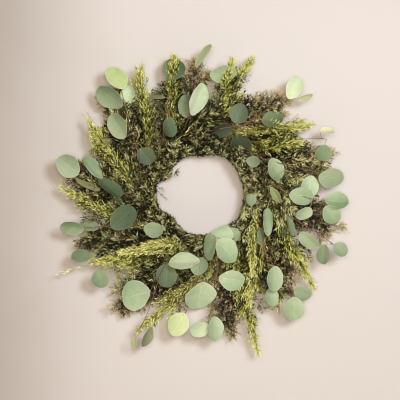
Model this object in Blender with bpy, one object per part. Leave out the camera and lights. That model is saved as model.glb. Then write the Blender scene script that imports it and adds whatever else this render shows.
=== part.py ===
"""A hanging wreath, in metres: silver-dollar eucalyptus, feathery plumes and brown filler on a vine ring.

The face looks along -Y and +Z is up. The origin is where the hanging loop bears on its hook. A place on the
wreath is a clock angle in degrees, a radius from the middle of the hole and a depth in front of the ring.
"""

import math
import random
from dataclasses import dataclass
from functools import partial

import bmesh
import bpy
from mathutils import Matrix, Vector
from mathutils.bvhtree import BVHTree

SEED = 11
GAP = 0.0003

RING_RADIUS = 0.115
RING_CREST = 0.012
RING_VALLEY = 0.0095
RING_STRANDS = 4
RING_TWISTS = 3
RING_STEPS = 42
RING_WEAR = 0.0005

ROOT_RADIUS = 0.0015
WIRE_RADIUS = 0.0005
WIRE_TURNS = 9
WIRE_POINTS = 10
WIRE_SIDES = 3
WIRE_OPEN = 0.25

LOOP_WIRE = 0.002
LOOP_HALF_WIDTH = 0.007
LOOP_HEIGHT = 0.016
LOOP_CORNER = 0.003
LOOP_STANDOFF = 0.0185
LOOP_BAND_POINTS = 12
NECK_RADIUS, NECK_SIDES = 0.0014, 6

HOLE_HALF = 0.052
HOLE_DEPTH = 0.16
WALL_AT = 0.0015
WALL_HALF = 0.5
NAIL_LOW, NAIL_HIGH = (-0.012, -0.003, -0.022), (0.012, 0.012, 0.006)

CENTRE = Vector((0, -LOOP_STANDOFF, -LOOP_HEIGHT - LOOP_WIRE / 2 - RING_RADIUS))
FRONT, MIDDLE, BACK = 0.010, -0.006, -0.020


@dataclass(frozen=True)
class Habit:
    """How one kind of spray grows: stem, whorls of needles and side twigs, in metres and degrees."""

    colour: tuple
    root: float
    tip: float
    step: float
    needle: float
    lean: float
    bare: float
    side: float
    faces: int = 4
    twigs: int = 0
    twig_length: float = 0.0


PLUME = Habit((0.45, 0.44, 0.10), 0.0015, 0.0012, 0.0115, 0.018, 46, 0.04, 38)
OLIVE = Habit((0.22, 0.23, 0.06), 0.0015, 0.0011, 0.0115, 0.016, 48, 0.04, 38)
FILLER = Habit((0.20, 0.14, 0.07), 0.0013, 0.0009, 0.018, 0.009, 50, 0.3, 88, 3, 5, 0.044)
SPRIG = Habit((0.16, 0.17, 0.05), 0.0012, 0.0010, 0.0105, 0.014, 54, 0.0, -52)


@dataclass(frozen=True)
class Spray:
    """A spray from its root's clock angle to its tip's clock angle, radius and depth."""

    name: str
    habit: Habit
    root: float
    tip: float
    radius: float
    middle_depth: float
    tip_depth: float


SPRAYS = (
    Spray("plume_01", PLUME, 8, 58, 0.246, 0.046, 0.040),
    Spray("plume_02", PLUME, 26, 63, 0.212, 0.050, 0.052),
    Spray("plume_03", OLIVE, 42, 82, 0.250, 0.036, 0.030),
    Spray("plume_04", OLIVE, 60, 107, 0.176, 0.046, 0.050),
    Spray("plume_05", PLUME, 80, 129, 0.280, 0.040, 0.028),
    Spray("plume_06", PLUME, 98, 156, 0.228, 0.052, 0.046),
    Spray("plume_07", OLIVE, 114, 145, 0.268, 0.030, 0.022),
    Spray("plume_08", PLUME, 130, 160, 0.322, 0.034, 0.024),
    Spray("plume_09", PLUME, 146, 204, 0.284, 0.046, 0.034),
    Spray("plume_10", PLUME, 190, 237, 0.240, 0.054, 0.044),
    Spray("plume_11", OLIVE, 166, 222, 0.250, 0.032, 0.026),
    Spray("plume_12", OLIVE, 200, 248, 0.236, 0.038, 0.030),
    Spray("plume_13", PLUME, 222, 272, 0.264, 0.044, 0.030),
    Spray("plume_14", OLIVE, 240, 284, 0.220, 0.046, 0.040),
    Spray("plume_15", PLUME, 256, 303, 0.254, 0.050, 0.036),
    Spray("plume_16", OLIVE, 276, 318, 0.236, 0.034, 0.026),
    Spray("plume_17", PLUME, 292, 334, 0.264, 0.042, 0.034),
    Spray("plume_18", PLUME, 312, 350, 0.258, 0.036, 0.030),
    Spray("plume_19", OLIVE, 324, 6, 0.160, 0.048, 0.052),
    Spray("plume_20", PLUME, 344, 21, 0.276, 0.034, 0.028),
    Spray("filler_01", FILLER, 318, 0, 0.246, 0.012, 0.010),
    Spray("filler_02", FILLER, 351, 42, 0.238, 0.015, 0.013),
    Spray("filler_03", FILLER, 34, 76, 0.257, 0.012, 0.008),
    Spray("filler_04", FILLER, 66, 106, 0.262, 0.010, 0.006),
    Spray("filler_05", FILLER, 98, 140, 0.256, 0.012, 0.008),
    Spray("filler_06", FILLER, 132, 170, 0.268, 0.012, 0.008),
    Spray("filler_07", FILLER, 175, 216, 0.266, 0.010, 0.006),
    Spray("filler_08", FILLER, 206, 249, 0.240, 0.012, 0.008),
    Spray("filler_09", FILLER, 238, 280, 0.246, 0.010, 0.006),
    Spray("filler_10", FILLER, 276, 318, 0.258, 0.012, 0.008),
    Spray("sprig_01", SPRIG, 12, 68, 0.092, 0.030, 0.036),
    Spray("sprig_02", SPRIG, 60, 112, 0.096, 0.028, 0.034),
    Spray("sprig_03", SPRIG, 102, 154, 0.094, 0.030, 0.034),
    Spray("sprig_04", SPRIG, 146, 200, 0.090, 0.028, 0.032),
    Spray("sprig_05", SPRIG, 192, 244, 0.092, 0.030, 0.034),
    Spray("sprig_06", SPRIG, 236, 290, 0.088, 0.028, 0.034),
    Spray("sprig_07", SPRIG, 282, 332, 0.090, 0.030, 0.034),
    Spray("sprig_08", SPRIG, 326, 20, 0.094, 0.028, 0.032),
)


@dataclass(frozen=True)
class Stem:
    """A eucalyptus stem: its root's clock angle, its tip, and each leaf's middle, width, height and layer.

    Tips and leaves are in millimetres right of the hole's middle and above it, as seen from the front. A leaf
    that slants has its length and breadth in place of width and height, and its slant in degrees at the end.
    """

    name: str
    root: float
    tip: tuple
    leaves: tuple


EUCALYPTUS = (
    Stem("eucalyptus_01", 325, (1, 247), (
        (-3, 184, 59, 34, FRONT, 65),
        (-26, 172, 35, 44, BACK),
        (46, 230, 48, 31, FRONT, 10),
        (7, 265, 48, 18, FRONT, 58),
    )),
    Stem("eucalyptus_02", 342, (127, 140), (
        (75, 156, 38, 38, MIDDLE),
        (141, 144, 40, 35, MIDDLE),
        (44, 123, 35, 27, BACK),
        (79, 96, 42, 27, FRONT),
    )),
    Stem("eucalyptus_03", 355, (180, 192), (
        (180, 205, 43, 35, FRONT, 66),
        (200, 184, 32, 11, FRONT, 14),
    )),
    Stem("eucalyptus_04", 12, (238, 106), (
        (244, 121, 25, 16, FRONT),
        (236, 77, 35, 29, FRONT),
        (184, 90, 27, 23, BACK),
    )),
    Stem("eucalyptus_05", 30, (242, 36), (
        (252, 31, 46, 40, FRONT, 20),
        (211, 13, 38, 38, MIDDLE),
        (146, 46, 35, 42, FRONT),
        (146, -3, 34, 14, MIDDLE, -55),
    )),
    Stem("eucalyptus_06", 48, (98, 0), (
        (102, 63, 29, 21, FRONT),
        (98, -12, 21, 21, FRONT),
    )),
    Stem("eucalyptus_07", 52, (253, -25), (
        (252, -40, 38, 35, FRONT),
        (263, -13, 42, 36, FRONT),
        (198, -38, 35, 23, FRONT, 12),
        (196, -4, 42, 38, FRONT),
    )),
    Stem("eucalyptus_08", 70, (259, -100), (
        (209, -90, 42, 29, FRONT, -35),
        (236, -117, 25, 36, FRONT),
        (269, -106, 29, 29, FRONT),
        (173, -61, 42, 15, FRONT, -68),
        (159, -69, 13, 29, MIDDLE),
    )),
    Stem("eucalyptus_09", 88, (138, -184), (
        (129, -52, 23, 50, FRONT),
        (117, -81, 15, 31, MIDDLE),
        (142, -163, 35, 46, FRONT),
        (138, -199, 29, 34, MIDDLE),
    )),
    Stem("eucalyptus_10", 104, (184, -201), (
        (180, -221, 44, 42, FRONT),
        (198, -191, 35, 31, MIDDLE),
    )),
    Stem("eucalyptus_11", 122, (27, -94), (
        (52, -109, 44, 50, FRONT),
        (41, -76, 42, 36, FRONT),
        (19, -102, 25, 52, MIDDLE),
        (63, -79, 31, 31, BACK),
    )),
    Stem("eucalyptus_12", 140, (15, -246), (
        (-2, -259, 36, 33, FRONT),
        (29, -259, 33, 44, FRONT),
        (63, -165, 48, 42, FRONT),
    )),
    Stem("eucalyptus_13", 156, (-31, -234), (
        (-33, -130, 57, 31, FRONT, 5),
        (-2, -138, 38, 31, MIDDLE),
        (0, -198, 66, 48, FRONT, 25),
        (-42, -250, 44, 44, FRONT),
    )),
    Stem("eucalyptus_14", 186, (-115, -257), (
        (-125, -194, 54, 61, FRONT),
        (-65, -159, 44, 44, MIDDLE),
        (-101, -275, 38, 19, FRONT, 66),
        (-125, -284, 12, 21, FRONT),
    )),
    Stem("eucalyptus_15", 206, (-215, -134), (
        (-228, -119, 38, 25, FRONT),
        (-190, -163, 36, 35, FRONT),
    )),
    Stem("eucalyptus_16", 222, (-230, -63), (
        (-246, -65, 44, 29, FRONT),
        (-215, -61, 35, 23, BACK),
        (-146, -44, 53, 46, FRONT, 50),
        (-88, -69, 35, 33, FRONT),
    )),
    Stem("eucalyptus_17", 245, (-242, 42), (
        (-253, 54, 46, 46, FRONT),
        (-206, 52, 50, 23, FRONT, -52),
        (-218, 19, 49, 14, MIDDLE, -25),
        (-170, 12, 54, 25, FRONT, -35),
        (-163, -21, 31, 27, BACK),
    )),
    Stem("eucalyptus_18", 270, (-152, 204), (
        (-161, 223, 46, 38, FRONT, -48),
        (-175, 186, 54, 40, FRONT, -30),
        (-138, 194, 35, 35, BACK),
        (-159, 132, 52, 38, FRONT, -72),
        (-104, 73, 36, 35, BACK),
    )),
    Stem("eucalyptus_19", 303, (-54, 227), (
        (-50, 241, 47, 42, BACK),
        (-86, 186, 33, 11, MIDDLE),
        (-58, 127, 29, 36, MIDDLE),
    )),
)
STEM_ROOT, STEM_TIP, STEM_STEP, STEM_SIDE = 0.0015, 0.0009, 0.026, 2
STEM_MIDDLE_DEPTH, STEM_TIP_DEPTH = 0.062, 0.048
LEAF_THICKNESS, LEAF_POINTS, LEAF_FOLD, LEAF_CUP = 0.0008, 10, 0.10, 0.10
LEAF_SWINGS = (0, 14, -14, 28, -28)
LEAF_POINT = 0.06
PETIOLE, PETIOLE_TAPER, PETIOLE_REACH, STEM_BARE = 0.0007, 0.6, 0.009, 4
PETIOLE_RUN, PETIOLE_DROP = 0.003, 0.002
JOINT_SHARES, JOINT_COST = (0.1, 0.4, 0.7, 0.95), 0.001
SMALL_LEAF, SMALL_LEAF_POINTS = 0.033, 8

ROUTE_OUTWARD, ROUTE_FIRST, ROUTE_SECOND = 0.35, 0.33, 0.62
NEEDLE_LENGTHS = (0.8, 1.15)
STEM_TWIST = 0.35
TWIG_FROM, TWIG_BEFORE_TIP, TWIG_STEPS = 4, 2, 3
TWIG_THIN, TWIG_BEND, TWIG_FORWARD, TWIG_SPREAD = 0.9, 0.9, 0.8, 30

MARGIN = 0.00035
ON_RING_DEGREES = 6
CLOCK_TRIES = (0, 1.5, -1.5, 3, -3, 4.5, -4.5, 6, -6, 7.5, -7.5, 9, -9)
LIFT_TRIES = tuple(0.0003 * step for step in range(-9, 5))
BELLY_TRIES = (0, 0.006, -0.006, 0.012, -0.012)
DEPTH_TRIES = tuple(0.003 * step * sign for step in range(9) for sign in (1, -1))
SWING_COST = 0.0006
LEAF_SEATS = tuple(sorted(
    ((deeper, swing) for deeper in DEPTH_TRIES for swing in LEAF_SWINGS),
    key=lambda seat: abs(seat[0]) + SWING_COST * abs(seat[1]),
))
SHORTENINGS, SHORTER = 4, 0.35
ATTEMPTS = 5
WELD = 0.000001
TWIG_TRIES = (0, 35, -35, 70, -70, 140)
NEEDLE_TRIES = ((1.0, 0), (0.75, 25), (0.75, -25), (0.5, 0))


def place(clock, radius, depth):
    """The point at a clock angle, a radius from the hole's middle and a depth in front of the ring."""
    angle = math.radians(clock)
    return CENTRE + Vector((radius * math.sin(angle), -depth, radius * math.cos(angle)))


def on_ring(clock, side, height):
    """The point at a height over the ring's middle line, side degrees from its front to its outer edge."""
    turn = math.radians(side)
    return place(clock, RING_RADIUS + height * math.sin(turn), height * math.cos(turn))


def make_material(name, colour, roughness, metallic=0.0):
    """One Principled material."""
    material = bpy.data.materials.new(name)
    material.use_nodes = True
    shader = material.node_tree.nodes["Principled BSDF"]
    shader.inputs["Base Color"].default_value = (*colour, 1)
    shader.inputs["Roughness"].default_value = roughness
    shader.inputs["Metallic"].default_value = metallic
    return material


def make_object(name, bm, material):
    """Turns a bmesh into a named object in the scene."""
    bmesh.ops.recalc_face_normals(bm, faces=bm.faces)
    if bm.calc_volume(signed=True) < 0:
        bmesh.ops.reverse_faces(bm, faces=bm.faces)
    mesh = bpy.data.meshes.new(name)
    bm.to_mesh(mesh)
    bm.free()
    mesh.materials.append(material)
    piece = bpy.data.objects.new(name, mesh)
    bpy.context.scene.collection.objects.link(piece)
    return piece


def loft(bm, rings, closed=False):
    """Skins rings of points and returns the side faces. An open loft gets a root cap and a pointed tip."""
    rows = [[bm.verts.new(point) for point in ring] for ring in rings]
    pairs = list(zip(rows, rows[1:]))
    if closed:
        pairs.append((rows[-1], rows[0]))
    sides = []
    for near, far in pairs:
        count = len(near)
        for k in range(count):
            after = (k + 1) % count
            sides.append(bm.faces.new((near[k], near[after], far[after], far[k])))
    if not closed:
        bm.faces.new(rows[0][::-1])
        bm.faces.new(rows[-1])
    return sides


def tube_rings(points, radii, sides, twist=0.0):
    """Rings of points round a path, carried along it and turned by the twist, in radians a step."""
    rings = []
    side = (points[1] - points[0]).orthogonal().normalized()
    for i, point in enumerate(points):
        ahead = points[min(i + 1, len(points) - 1)]
        direction = (ahead - points[max(i - 1, 0)]).normalized()
        side = (side - direction * side.dot(direction)).normalized()
        across = direction.cross(side)
        angles = [math.tau * k / sides + twist * i for k in range(sides)]
        rings.append([point + (side * math.cos(a) + across * math.sin(a)) * radii[i] for a in angles])
    return rings


def tree_of(bm):
    """A search tree of the mesh's faces."""
    return BVHTree.FromBMesh(bm)


def self_crossings(bm):
    """Pairs of faces that cross though they share no corner."""
    bm.verts.ensure_lookup_table()
    bm.faces.ensure_lookup_table()
    tree = tree_of(bm)
    return [
        (bm.faces[a], bm.faces[b])
        for a, b in tree.overlap(tree)
        if a < b and not set(bm.faces[a].verts) & set(bm.faces[b].verts)
    ]


def box_mesh(low, high):
    """A box as a bmesh."""
    bm = bmesh.new()
    size = high - low
    bmesh.ops.create_cube(bm, matrix=Matrix.Translation((low + high) / 2) @ Matrix.Diagonal((*size, 1)))
    return bm


class Clearance:
    """What is placed so far, so that each new stem, leaf and needle keeps off every other node."""

    def __init__(self, boxes):
        self.boxes = boxes
        self.placed = []
        for low, high in boxes:
            self.add("", box_mesh(low, high))

    def add(self, node, bm):
        """Keeps the mesh as something to stay clear of, and frees it."""
        self.placed.append((node, tree_of(bm)))
        bm.free()

    def is_free(self, node, bm, own=False):
        """Whether the mesh crosses nothing of another node, nor itself where own is set. Frees it."""
        tree = tree_of(bm)
        corners = [vertex.co.copy() for vertex in bm.verts]
        folded = own and bool(self_crossings(bm))
        bm.free()
        if folded:
            return False
        for low, high in self.boxes:
            if any(all(low[k] < corner[k] < high[k] for k in range(3)) for corner in corners):
                return False
        return not any(owner != node and placed.overlap(tree) for owner, placed in self.placed)


def keep_clear_boxes():
    """The hole, the room round the hanging loop's eye where a nail comes in, and the wall behind."""
    half = Vector((HOLE_HALF, HOLE_DEPTH, HOLE_HALF))
    return [
        (CENTRE - half, CENTRE + half),
        (Vector(NAIL_LOW), Vector(NAIL_HIGH)),
        (Vector((-WALL_HALF, WALL_AT, -WALL_HALF)), Vector((WALL_HALF, WALL_HALF, WALL_HALF))),
    ]


def make_ring():
    """The ring of twisted vines, one lobed section swept round with its twist."""
    rng = random.Random(SEED)
    bm = bmesh.new()
    points = 2 * RING_STRANDS
    rings = []
    for step in range(RING_STEPS):
        clock = 360 * step / RING_STEPS
        ring = []
        for k in range(points):
            height = (RING_CREST if k % 2 == 0 else RING_VALLEY) - rng.uniform(0, RING_WEAR)
            ring.append(on_ring(clock, 360 * k / points + RING_TWISTS * clock, height))
        rings.append(ring)
    loft(bm, rings, closed=True)
    return bm


def make_wire():
    """The binding wire, one helix round the ring and over the roots, with both ends open."""
    reach = RING_CREST + GAP + 2 * ROOT_RADIUS + GAP + WIRE_RADIUS
    reach /= math.cos(math.pi / WIRE_POINTS)
    count = WIRE_TURNS * WIRE_POINTS
    opening = WIRE_OPEN * 360 / WIRE_TURNS
    points = []
    for i in range(count):
        clock = opening / 2 + (360 - opening) * i / count
        points.append(on_ring(clock, 360 * i / WIRE_POINTS, reach))
    bm = bmesh.new()
    loft(bm, tube_rings(points, [WIRE_RADIUS] * count, WIRE_SIDES))
    return bm


def eye_mesh():
    """The hanging loop's eye: a bent wire with flat sides, whose top inner side bears on the hook."""
    wide, tall, cut = LOOP_HALF_WIDTH, LOOP_HEIGHT, LOOP_CORNER
    inner = [(wide - cut, 0), (wide, -cut), (wide, cut - tall), (wide - cut, -tall)]
    inner += [(-x, z) for x, z in reversed(inner)]
    middle = Vector((0, 0, -tall / 2))
    bm = bmesh.new()
    rows = []
    for grow in (0, LOOP_WIRE):
        share = Vector((1 + grow / wide, 1, 1 + 2 * grow / tall))
        rows.append([bm.verts.new((Vector((x, 0, z)) - middle) * share + middle) for x, z in inner])
    for k in range(len(inner)):
        after = (k + 1) % len(inner)
        bm.faces.new((rows[0][k], rows[0][after], rows[1][after], rows[1][k]))
    bmesh.ops.translate(bm, verts=bm.verts, vec=(0, LOOP_WIRE / 2, 0))
    bmesh.ops.recalc_face_normals(bm, faces=bm.faces)
    bmesh.ops.solidify(bm, geom=bm.faces[:], thickness=LOOP_WIRE)
    drift = sum((vertex.co.y for vertex in bm.verts), 0.0) / len(bm.verts)
    bmesh.ops.translate(bm, verts=bm.verts, vec=(0, -drift, 0))
    return bm


def band_mesh():
    """The hanging loop's band round the vine ring."""
    reach = (RING_CREST + GAP + LOOP_WIRE / 2) / math.cos(math.pi / LOOP_BAND_POINTS)
    path = [on_ring(0, 360 * k / LOOP_BAND_POINTS, reach) for k in range(LOOP_BAND_POINTS)]
    rings = []
    for k, point in enumerate(path):
        out = (point - place(0, RING_RADIUS, 0)).normalized() * LOOP_WIRE / 2
        along = Vector((LOOP_WIRE / 2, 0, 0))
        rings.append([point + out, point + along, point - out, point - along])
    bm = bmesh.new()
    loft(bm, rings, closed=True)
    return bm


def neck_mesh():
    """The twisted neck that joins the band to the eye."""
    start = on_ring(0, 180, RING_CREST + LOOP_WIRE / 2)
    end = Vector((0, 0, -LOOP_HEIGHT - LOOP_WIRE / 2))
    bm = bmesh.new()
    end.y += LOOP_WIRE / 4
    loft(bm, tube_rings([start, end], [NECK_RADIUS] * 2, NECK_SIDES))
    return bm


def outer_shell(mesh):
    """Drops what a union seals inside or leaves loose, which is every shell but the largest."""
    bm = bmesh.new()
    bm.from_mesh(mesh)
    shells = []
    left = set(bm.verts)
    while left:
        shell, edge = set(), [left.pop()]
        while edge:
            vertex = edge.pop()
            shell.add(vertex)
            near = {link.other_vert(vertex) for link in vertex.link_edges} & left
            left -= near
            edge += sorted(near, key=lambda each: each.index)
        shells.append(shell)
    shells.sort(key=len)
    for shell in shells[:-1]:
        bmesh.ops.delete(bm, geom=list(shell), context="VERTS")
    bm.to_mesh(mesh)
    bm.free()


def is_sound(mesh):
    """Whether a fused mesh is one closed shell whose faces don't cross."""
    bm = bmesh.new()
    bm.from_mesh(mesh)
    bmesh.ops.remove_doubles(bm, verts=bm.verts, dist=WELD)
    sound = all(edge.is_manifold for edge in bm.edges) and not self_crossings(bm)
    bm.free()
    return sound


def fuse(name, meshes, material):
    """One Boolean union of the first mesh with the rest, applied."""
    base = make_object(name, meshes[0], material)
    if len(meshes) == 1:
        return base
    repeats = bpy.data.collections.new(name + "_repeats")
    bpy.context.scene.collection.children.link(repeats)
    for i, bm in enumerate(meshes[1:]):
        piece = make_object(f"{name}_{i}", bm, material)
        bpy.context.scene.collection.objects.unlink(piece)
        repeats.objects.link(piece)
    union = base.modifiers.new("Union", "BOOLEAN")
    union.operation = "UNION"
    union.operand_type = "COLLECTION"
    union.collection = repeats
    union.solver = "EXACT"
    graph = bpy.context.evaluated_depsgraph_get()
    graph.update()
    fused = bpy.data.meshes.new_from_object(base.evaluated_get(graph))
    base.modifiers.remove(union)
    outer_shell(fused)
    base.data = fused
    for piece in list(repeats.objects):
        bpy.data.objects.remove(piece)
    bpy.data.collections.remove(repeats)
    return base


def route(root, side, tip, middle_depth, lift, stem_radius, step):
    """A stem's points: a short run bound along the ring, then one curve clockwise and out to the tip."""
    height = RING_CREST + GAP + stem_radius + lift
    bound = [on_ring(root + share * ON_RING_DEGREES, side, height) for share in (0, 0.5, 1)]
    start = bound[-1]
    along = (bound[-1] - bound[-2]).normalized()
    out = (start - on_ring(root + ON_RING_DEGREES, side, 0)).normalized()
    reach = (tip - start).length
    first = start + (along + out * ROUTE_OUTWARD) * reach * ROUTE_FIRST
    second = start.lerp(tip, ROUTE_SECOND)
    second.y = CENTRE.y - middle_depth
    count = max(4, round(reach / step))
    points = bound[:-1]
    for i in range(count + 1):
        t = i / count
        s = 1 - t
        points.append(start * s**3 + first * 3 * s * s * t + second * 3 * s * t * t + tip * t**3)
    return points


def radii_for(points, root, tip):
    """Radii that taper evenly from the root to the tip."""
    last = len(points) - 1
    return [root + (tip - root) * i / last for i in range(last + 1)]


def core_mesh(points, root, tip, faces=4, grow=0.0):
    """A stem's bare tube, thickened by grow to test its clearance."""
    bm = bmesh.new()
    radii = [radius + grow for radius in radii_for(points, root, tip)]
    loft(bm, tube_rings(points, radii, faces))
    return bm


def seat_route(clearance, name, root, side, tip, depth, sizes, step):
    """The route nearest to the wanted one that is clear of what is placed, lowest on the ring first."""
    for shift in CLOCK_TRIES:
        for deeper in BELLY_TRIES:
            for lift in LIFT_TRIES:
                moved = tip + Vector((0, -deeper / 2, 0))
                points = route(root + shift, side, moved, depth + deeper, lift, sizes[0], step)
                if clearance.is_free(name, core_mesh(points, *sizes, grow=MARGIN)):
                    clearance.add(name, core_mesh(points, *sizes, grow=MARGIN))
                    return points
    raise RuntimeError(f"{name} has no clear route")


def needle_test(face, apex):
    """A slightly fat needle from a face to its apex, to test its clearance."""
    bm = bmesh.new()
    middle = face.calc_center_median()
    base = [vertex.co + (vertex.co - middle).normalized() * MARGIN for vertex in face.verts]
    past = apex + (apex - middle).normalized() * MARGIN
    top = [past + (point - middle).normalized() * MARGIN for point in base]
    loft(bm, [base, top])
    return bm


def grow_needles(bm, sides, points, habit, node, clearance, rng, first):
    """Pulls each side face of a stem out into a needle, wherever it stays clear of the other nodes.

    It returns each needle's tip with the middle of the face that it grew from.
    """
    grown = {}
    for index, face in enumerate(sides):
        row = index // habit.faces
        if row < first:
            continue
        middle = face.calc_center_median()
        near, far = points[row], points[row + 1]
        forward = (far - near).normalized()
        out = middle - (near + far) / 2
        out = (out - forward * out.dot(forward)).normalized()
        length = habit.needle * rng.uniform(*NEEDLE_LENGTHS)
        for share, turn in NEEDLE_TRIES:
            lean = math.radians(habit.lean)
            heading = Matrix.Rotation(math.radians(turn), 3, forward) @ out
            apex = middle + (heading * math.sin(lean) + forward * math.cos(lean)) * length * share
            if clearance.is_free(node, needle_test(face, apex)):
                poked = bmesh.ops.poke(bm, faces=[face])
                poked["verts"][0].co = apex
                grown[poked["verts"][0]] = middle
                break
    return grown


def needled_mesh(points, habit, node, clearance, rng, root, first):
    """A stem or twig with its needles."""
    bm = bmesh.new()
    sides = loft(bm, tube_rings(points, radii_for(points, root, habit.tip), habit.faces, STEM_TWIST))
    grown = grow_needles(bm, sides, points, habit, node, clearance, rng, first)
    for _ in range(SHORTENINGS):
        crossed = {vertex for pair in self_crossings(bm) for face in pair for vertex in face.verts}
        for vertex in crossed & set(grown):
            vertex.co = vertex.co.lerp(grown[vertex], SHORTER)
    return bm


def twig_points(points, habit, index, turn, length):
    """The points of one side twig, which leaves its stem at a slant and bends forward."""
    last = len(points) - 1
    at = TWIG_FROM + (last - TWIG_FROM - TWIG_BEFORE_TIP) * (index + 0.5) / habit.twigs
    base = points[int(at)].lerp(points[int(at) + 1], at % 1)
    forward = (points[int(at) + 1] - points[int(at)]).normalized()
    out = Matrix.Rotation(math.radians(turn), 3, forward) @ Vector((0, -1, 0)).cross(forward).normalized()
    shares = [k / TWIG_STEPS for k in range(TWIG_STEPS + 1)]
    return [base + (out * math.sin(TWIG_BEND * s) + forward * s * TWIG_FORWARD) * length for s in shares]


def spray_meshes(spray, points, clearance, attempt):
    """One spray's needled stem and its twigs."""
    rng = random.Random(f"{SEED} {spray.name} {attempt}")
    habit = spray.habit
    first = 2 + int(habit.bare * (len(points) - 2))
    meshes = [needled_mesh(points, habit, spray.name, clearance, rng, habit.root, first)]
    thin = habit.tip * TWIG_THIN
    for index in range(habit.twigs):
        turn = 180 * index + rng.uniform(-TWIG_SPREAD, TWIG_SPREAD)
        length = habit.twig_length * rng.uniform(*NEEDLE_LENGTHS)
        for more in TWIG_TRIES:
            twig = twig_points(points, habit, index, turn + more, length)
            if clearance.is_free(spray.name, core_mesh(twig, thin, thin, habit.faces, MARGIN)):
                meshes.append(needled_mesh(twig, habit, spray.name, clearance, rng, thin, 1))
                break
    return meshes


def leaf_frame(middle, attach, width, height, slant, swing):
    """The leaf's directions across, along and out: it faces the front, tipped to its width and height."""
    tip_angle = math.acos(min(width, height) / max(width, height))
    length = math.radians(slant + 90 * (width < height))
    axis = Vector((math.cos(length), 0, math.sin(length)))
    front = Vector((0, -1, 0))
    along = middle - attach
    outward = 1 if front.cross(axis).dot(along) < 0 else -1
    tipped = Matrix.Rotation(tip_angle * outward, 3, axis)
    facing = Matrix.Rotation(math.radians(swing), 3, "Z") @ tipped @ front
    along = (along - facing * along.dot(facing)).normalized()
    return facing.cross(along), along, facing


def leaf_mesh(middle, attach, size, frame, grow=0.0):
    """A round blade with a folded midline, whose base is drawn out into the petiole down to the stem."""
    across, along, facing = frame
    radius = size / 2 + grow
    thickness = LEAF_THICKNESS + 2 * grow
    bm = bmesh.new()
    count = SMALL_LEAF_POINTS if size < SMALL_LEAF else LEAF_POINTS
    base_half = math.asin(PETIOLE / radius)
    outline = [base_half + (math.tau - 2 * base_half) * k / (count - 1) for k in range(count)]
    hub = bm.verts.new(middle - facing * radius * LEAF_CUP)
    rim = []
    for angle in outline:
        u, v = math.sin(angle), -math.cos(angle)
        stretch = 1 + LEAF_POINT * max(0, v) ** 3
        lift = LEAF_FOLD * abs(u) * radius
        rim.append(bm.verts.new(middle + (across * u + along * v * stretch) * radius + facing * lift))
    faces = [bm.faces.new((hub, rim[k], rim[(k + 1) % count])) for k in range(count)]
    below = {vertex: bm.verts.new(vertex.co - facing * thickness) for vertex in [hub, *rim]}
    for face in faces:
        bm.faces.new([below[vertex] for vertex in reversed(face.verts)])
    for k in range(count - 1):
        bm.faces.new((rim[k + 1], rim[k], below[rim[k]], below[rim[k + 1]]))
    foot = [rim[0], rim[-1], below[rim[-1]], below[rim[0]]]
    base = sum((vertex.co for vertex in foot), Vector()) / 4
    bend = base - along * PETIOLE_RUN + (attach - base).normalized() * PETIOLE_DROP
    for centre, behind, share in ((bend, base, 1.0), (attach, bend, PETIOLE_TAPER)):
        heading = (centre - behind).normalized()
        side = across * (PETIOLE * share + grow)
        up = across.cross(heading) * (PETIOLE * share + grow)
        ring = [bm.verts.new(centre + corner) for corner in (side + up, up - side, -side - up, side - up)]
        for k in range(4):
            bm.faces.new((foot[k], foot[(k + 1) % 4], ring[(k + 1) % 4], ring[k]))
        foot = ring
    bm.faces.new(foot)
    return bm


def leaf_joint(points, target, reach):
    """The place on a stem from which a petiole reaches a leaf, nearer the root where it can be."""
    best = None
    for i in range(STEM_BARE, len(points) - 1):
        for share in JOINT_SHARES:
            spot = points[i].lerp(points[i + 1], share)
            away = math.hypot(spot.x - target.x, spot.z - target.z)
            cost = abs(away - reach) + JOINT_COST * i
            if best is None or cost < best[0]:
                best = (cost, spot)
    return best[1]


def seat_leaf(clearance, node, points, leaf, attempt):
    """The leaf's mesh at the first depth and swing that keep it clear, from another swing each attempt."""
    x, z, width, height, layer, *rest = leaf
    slant = rest[0] if rest else 0
    size = max(width, height) / 1000
    target = CENTRE + Vector((x / 1000, 0, z / 1000))
    attach = leaf_joint(points, target, size / 2 + PETIOLE_REACH)
    for deeper, swing in LEAF_SEATS[attempt:]:
        middle = Vector((target.x, attach.y - layer - deeper, target.z))
        frame = leaf_frame(middle, attach, width, height, slant, swing)
        if clearance.is_free(node, leaf_mesh(middle, attach, size, frame, MARGIN), own=True):
            clearance.add(node, leaf_mesh(middle, attach, size, frame, MARGIN))
            return leaf_mesh(middle, attach, size, frame)
    raise RuntimeError(f"{node} has no place for the leaf {leaf}")


def stem_meshes(stem, points, clearance, attempt):
    """One eucalyptus stem and its leaves."""
    meshes = [core_mesh(points, STEM_ROOT, STEM_TIP)]
    meshes += [seat_leaf(clearance, stem.name, points, leaf, attempt) for leaf in stem.leaves]
    return meshes


def add_node(name, material, clearance, maker):
    """Fuses a node, and makes it again with other draws, a few times, while its faces cross."""
    mark = len(clearance.placed)
    piece = None
    for attempt in range(ATTEMPTS):
        if piece:
            bpy.data.objects.remove(piece)
        del clearance.placed[mark:]
        meshes = maker(attempt)
        for bm in meshes:
            clearance.add(name, bm.copy())
        piece = fuse(name, meshes, material)
        if is_sound(piece.data):
            break


def add_support(clearance):
    """The vine ring, its binding wire and the hanging loop."""
    steel = make_material("florist_wire", (0.25, 0.24, 0.22), 0.4, 1.0)
    make_object("vine_ring", make_ring(), make_material("grapevine", (0.12, 0.075, 0.04), 0.85))
    clearance.add("vine_ring", make_ring())
    make_object("binding_wire", make_wire(), steel)
    clearance.add("binding_wire", make_wire())
    fuse("hanging_loop", [band_mesh(), eye_mesh(), neck_mesh()], steel)
    for mesh in (band_mesh, eye_mesh, neck_mesh):
        clearance.add("hanging_loop", mesh())


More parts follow.
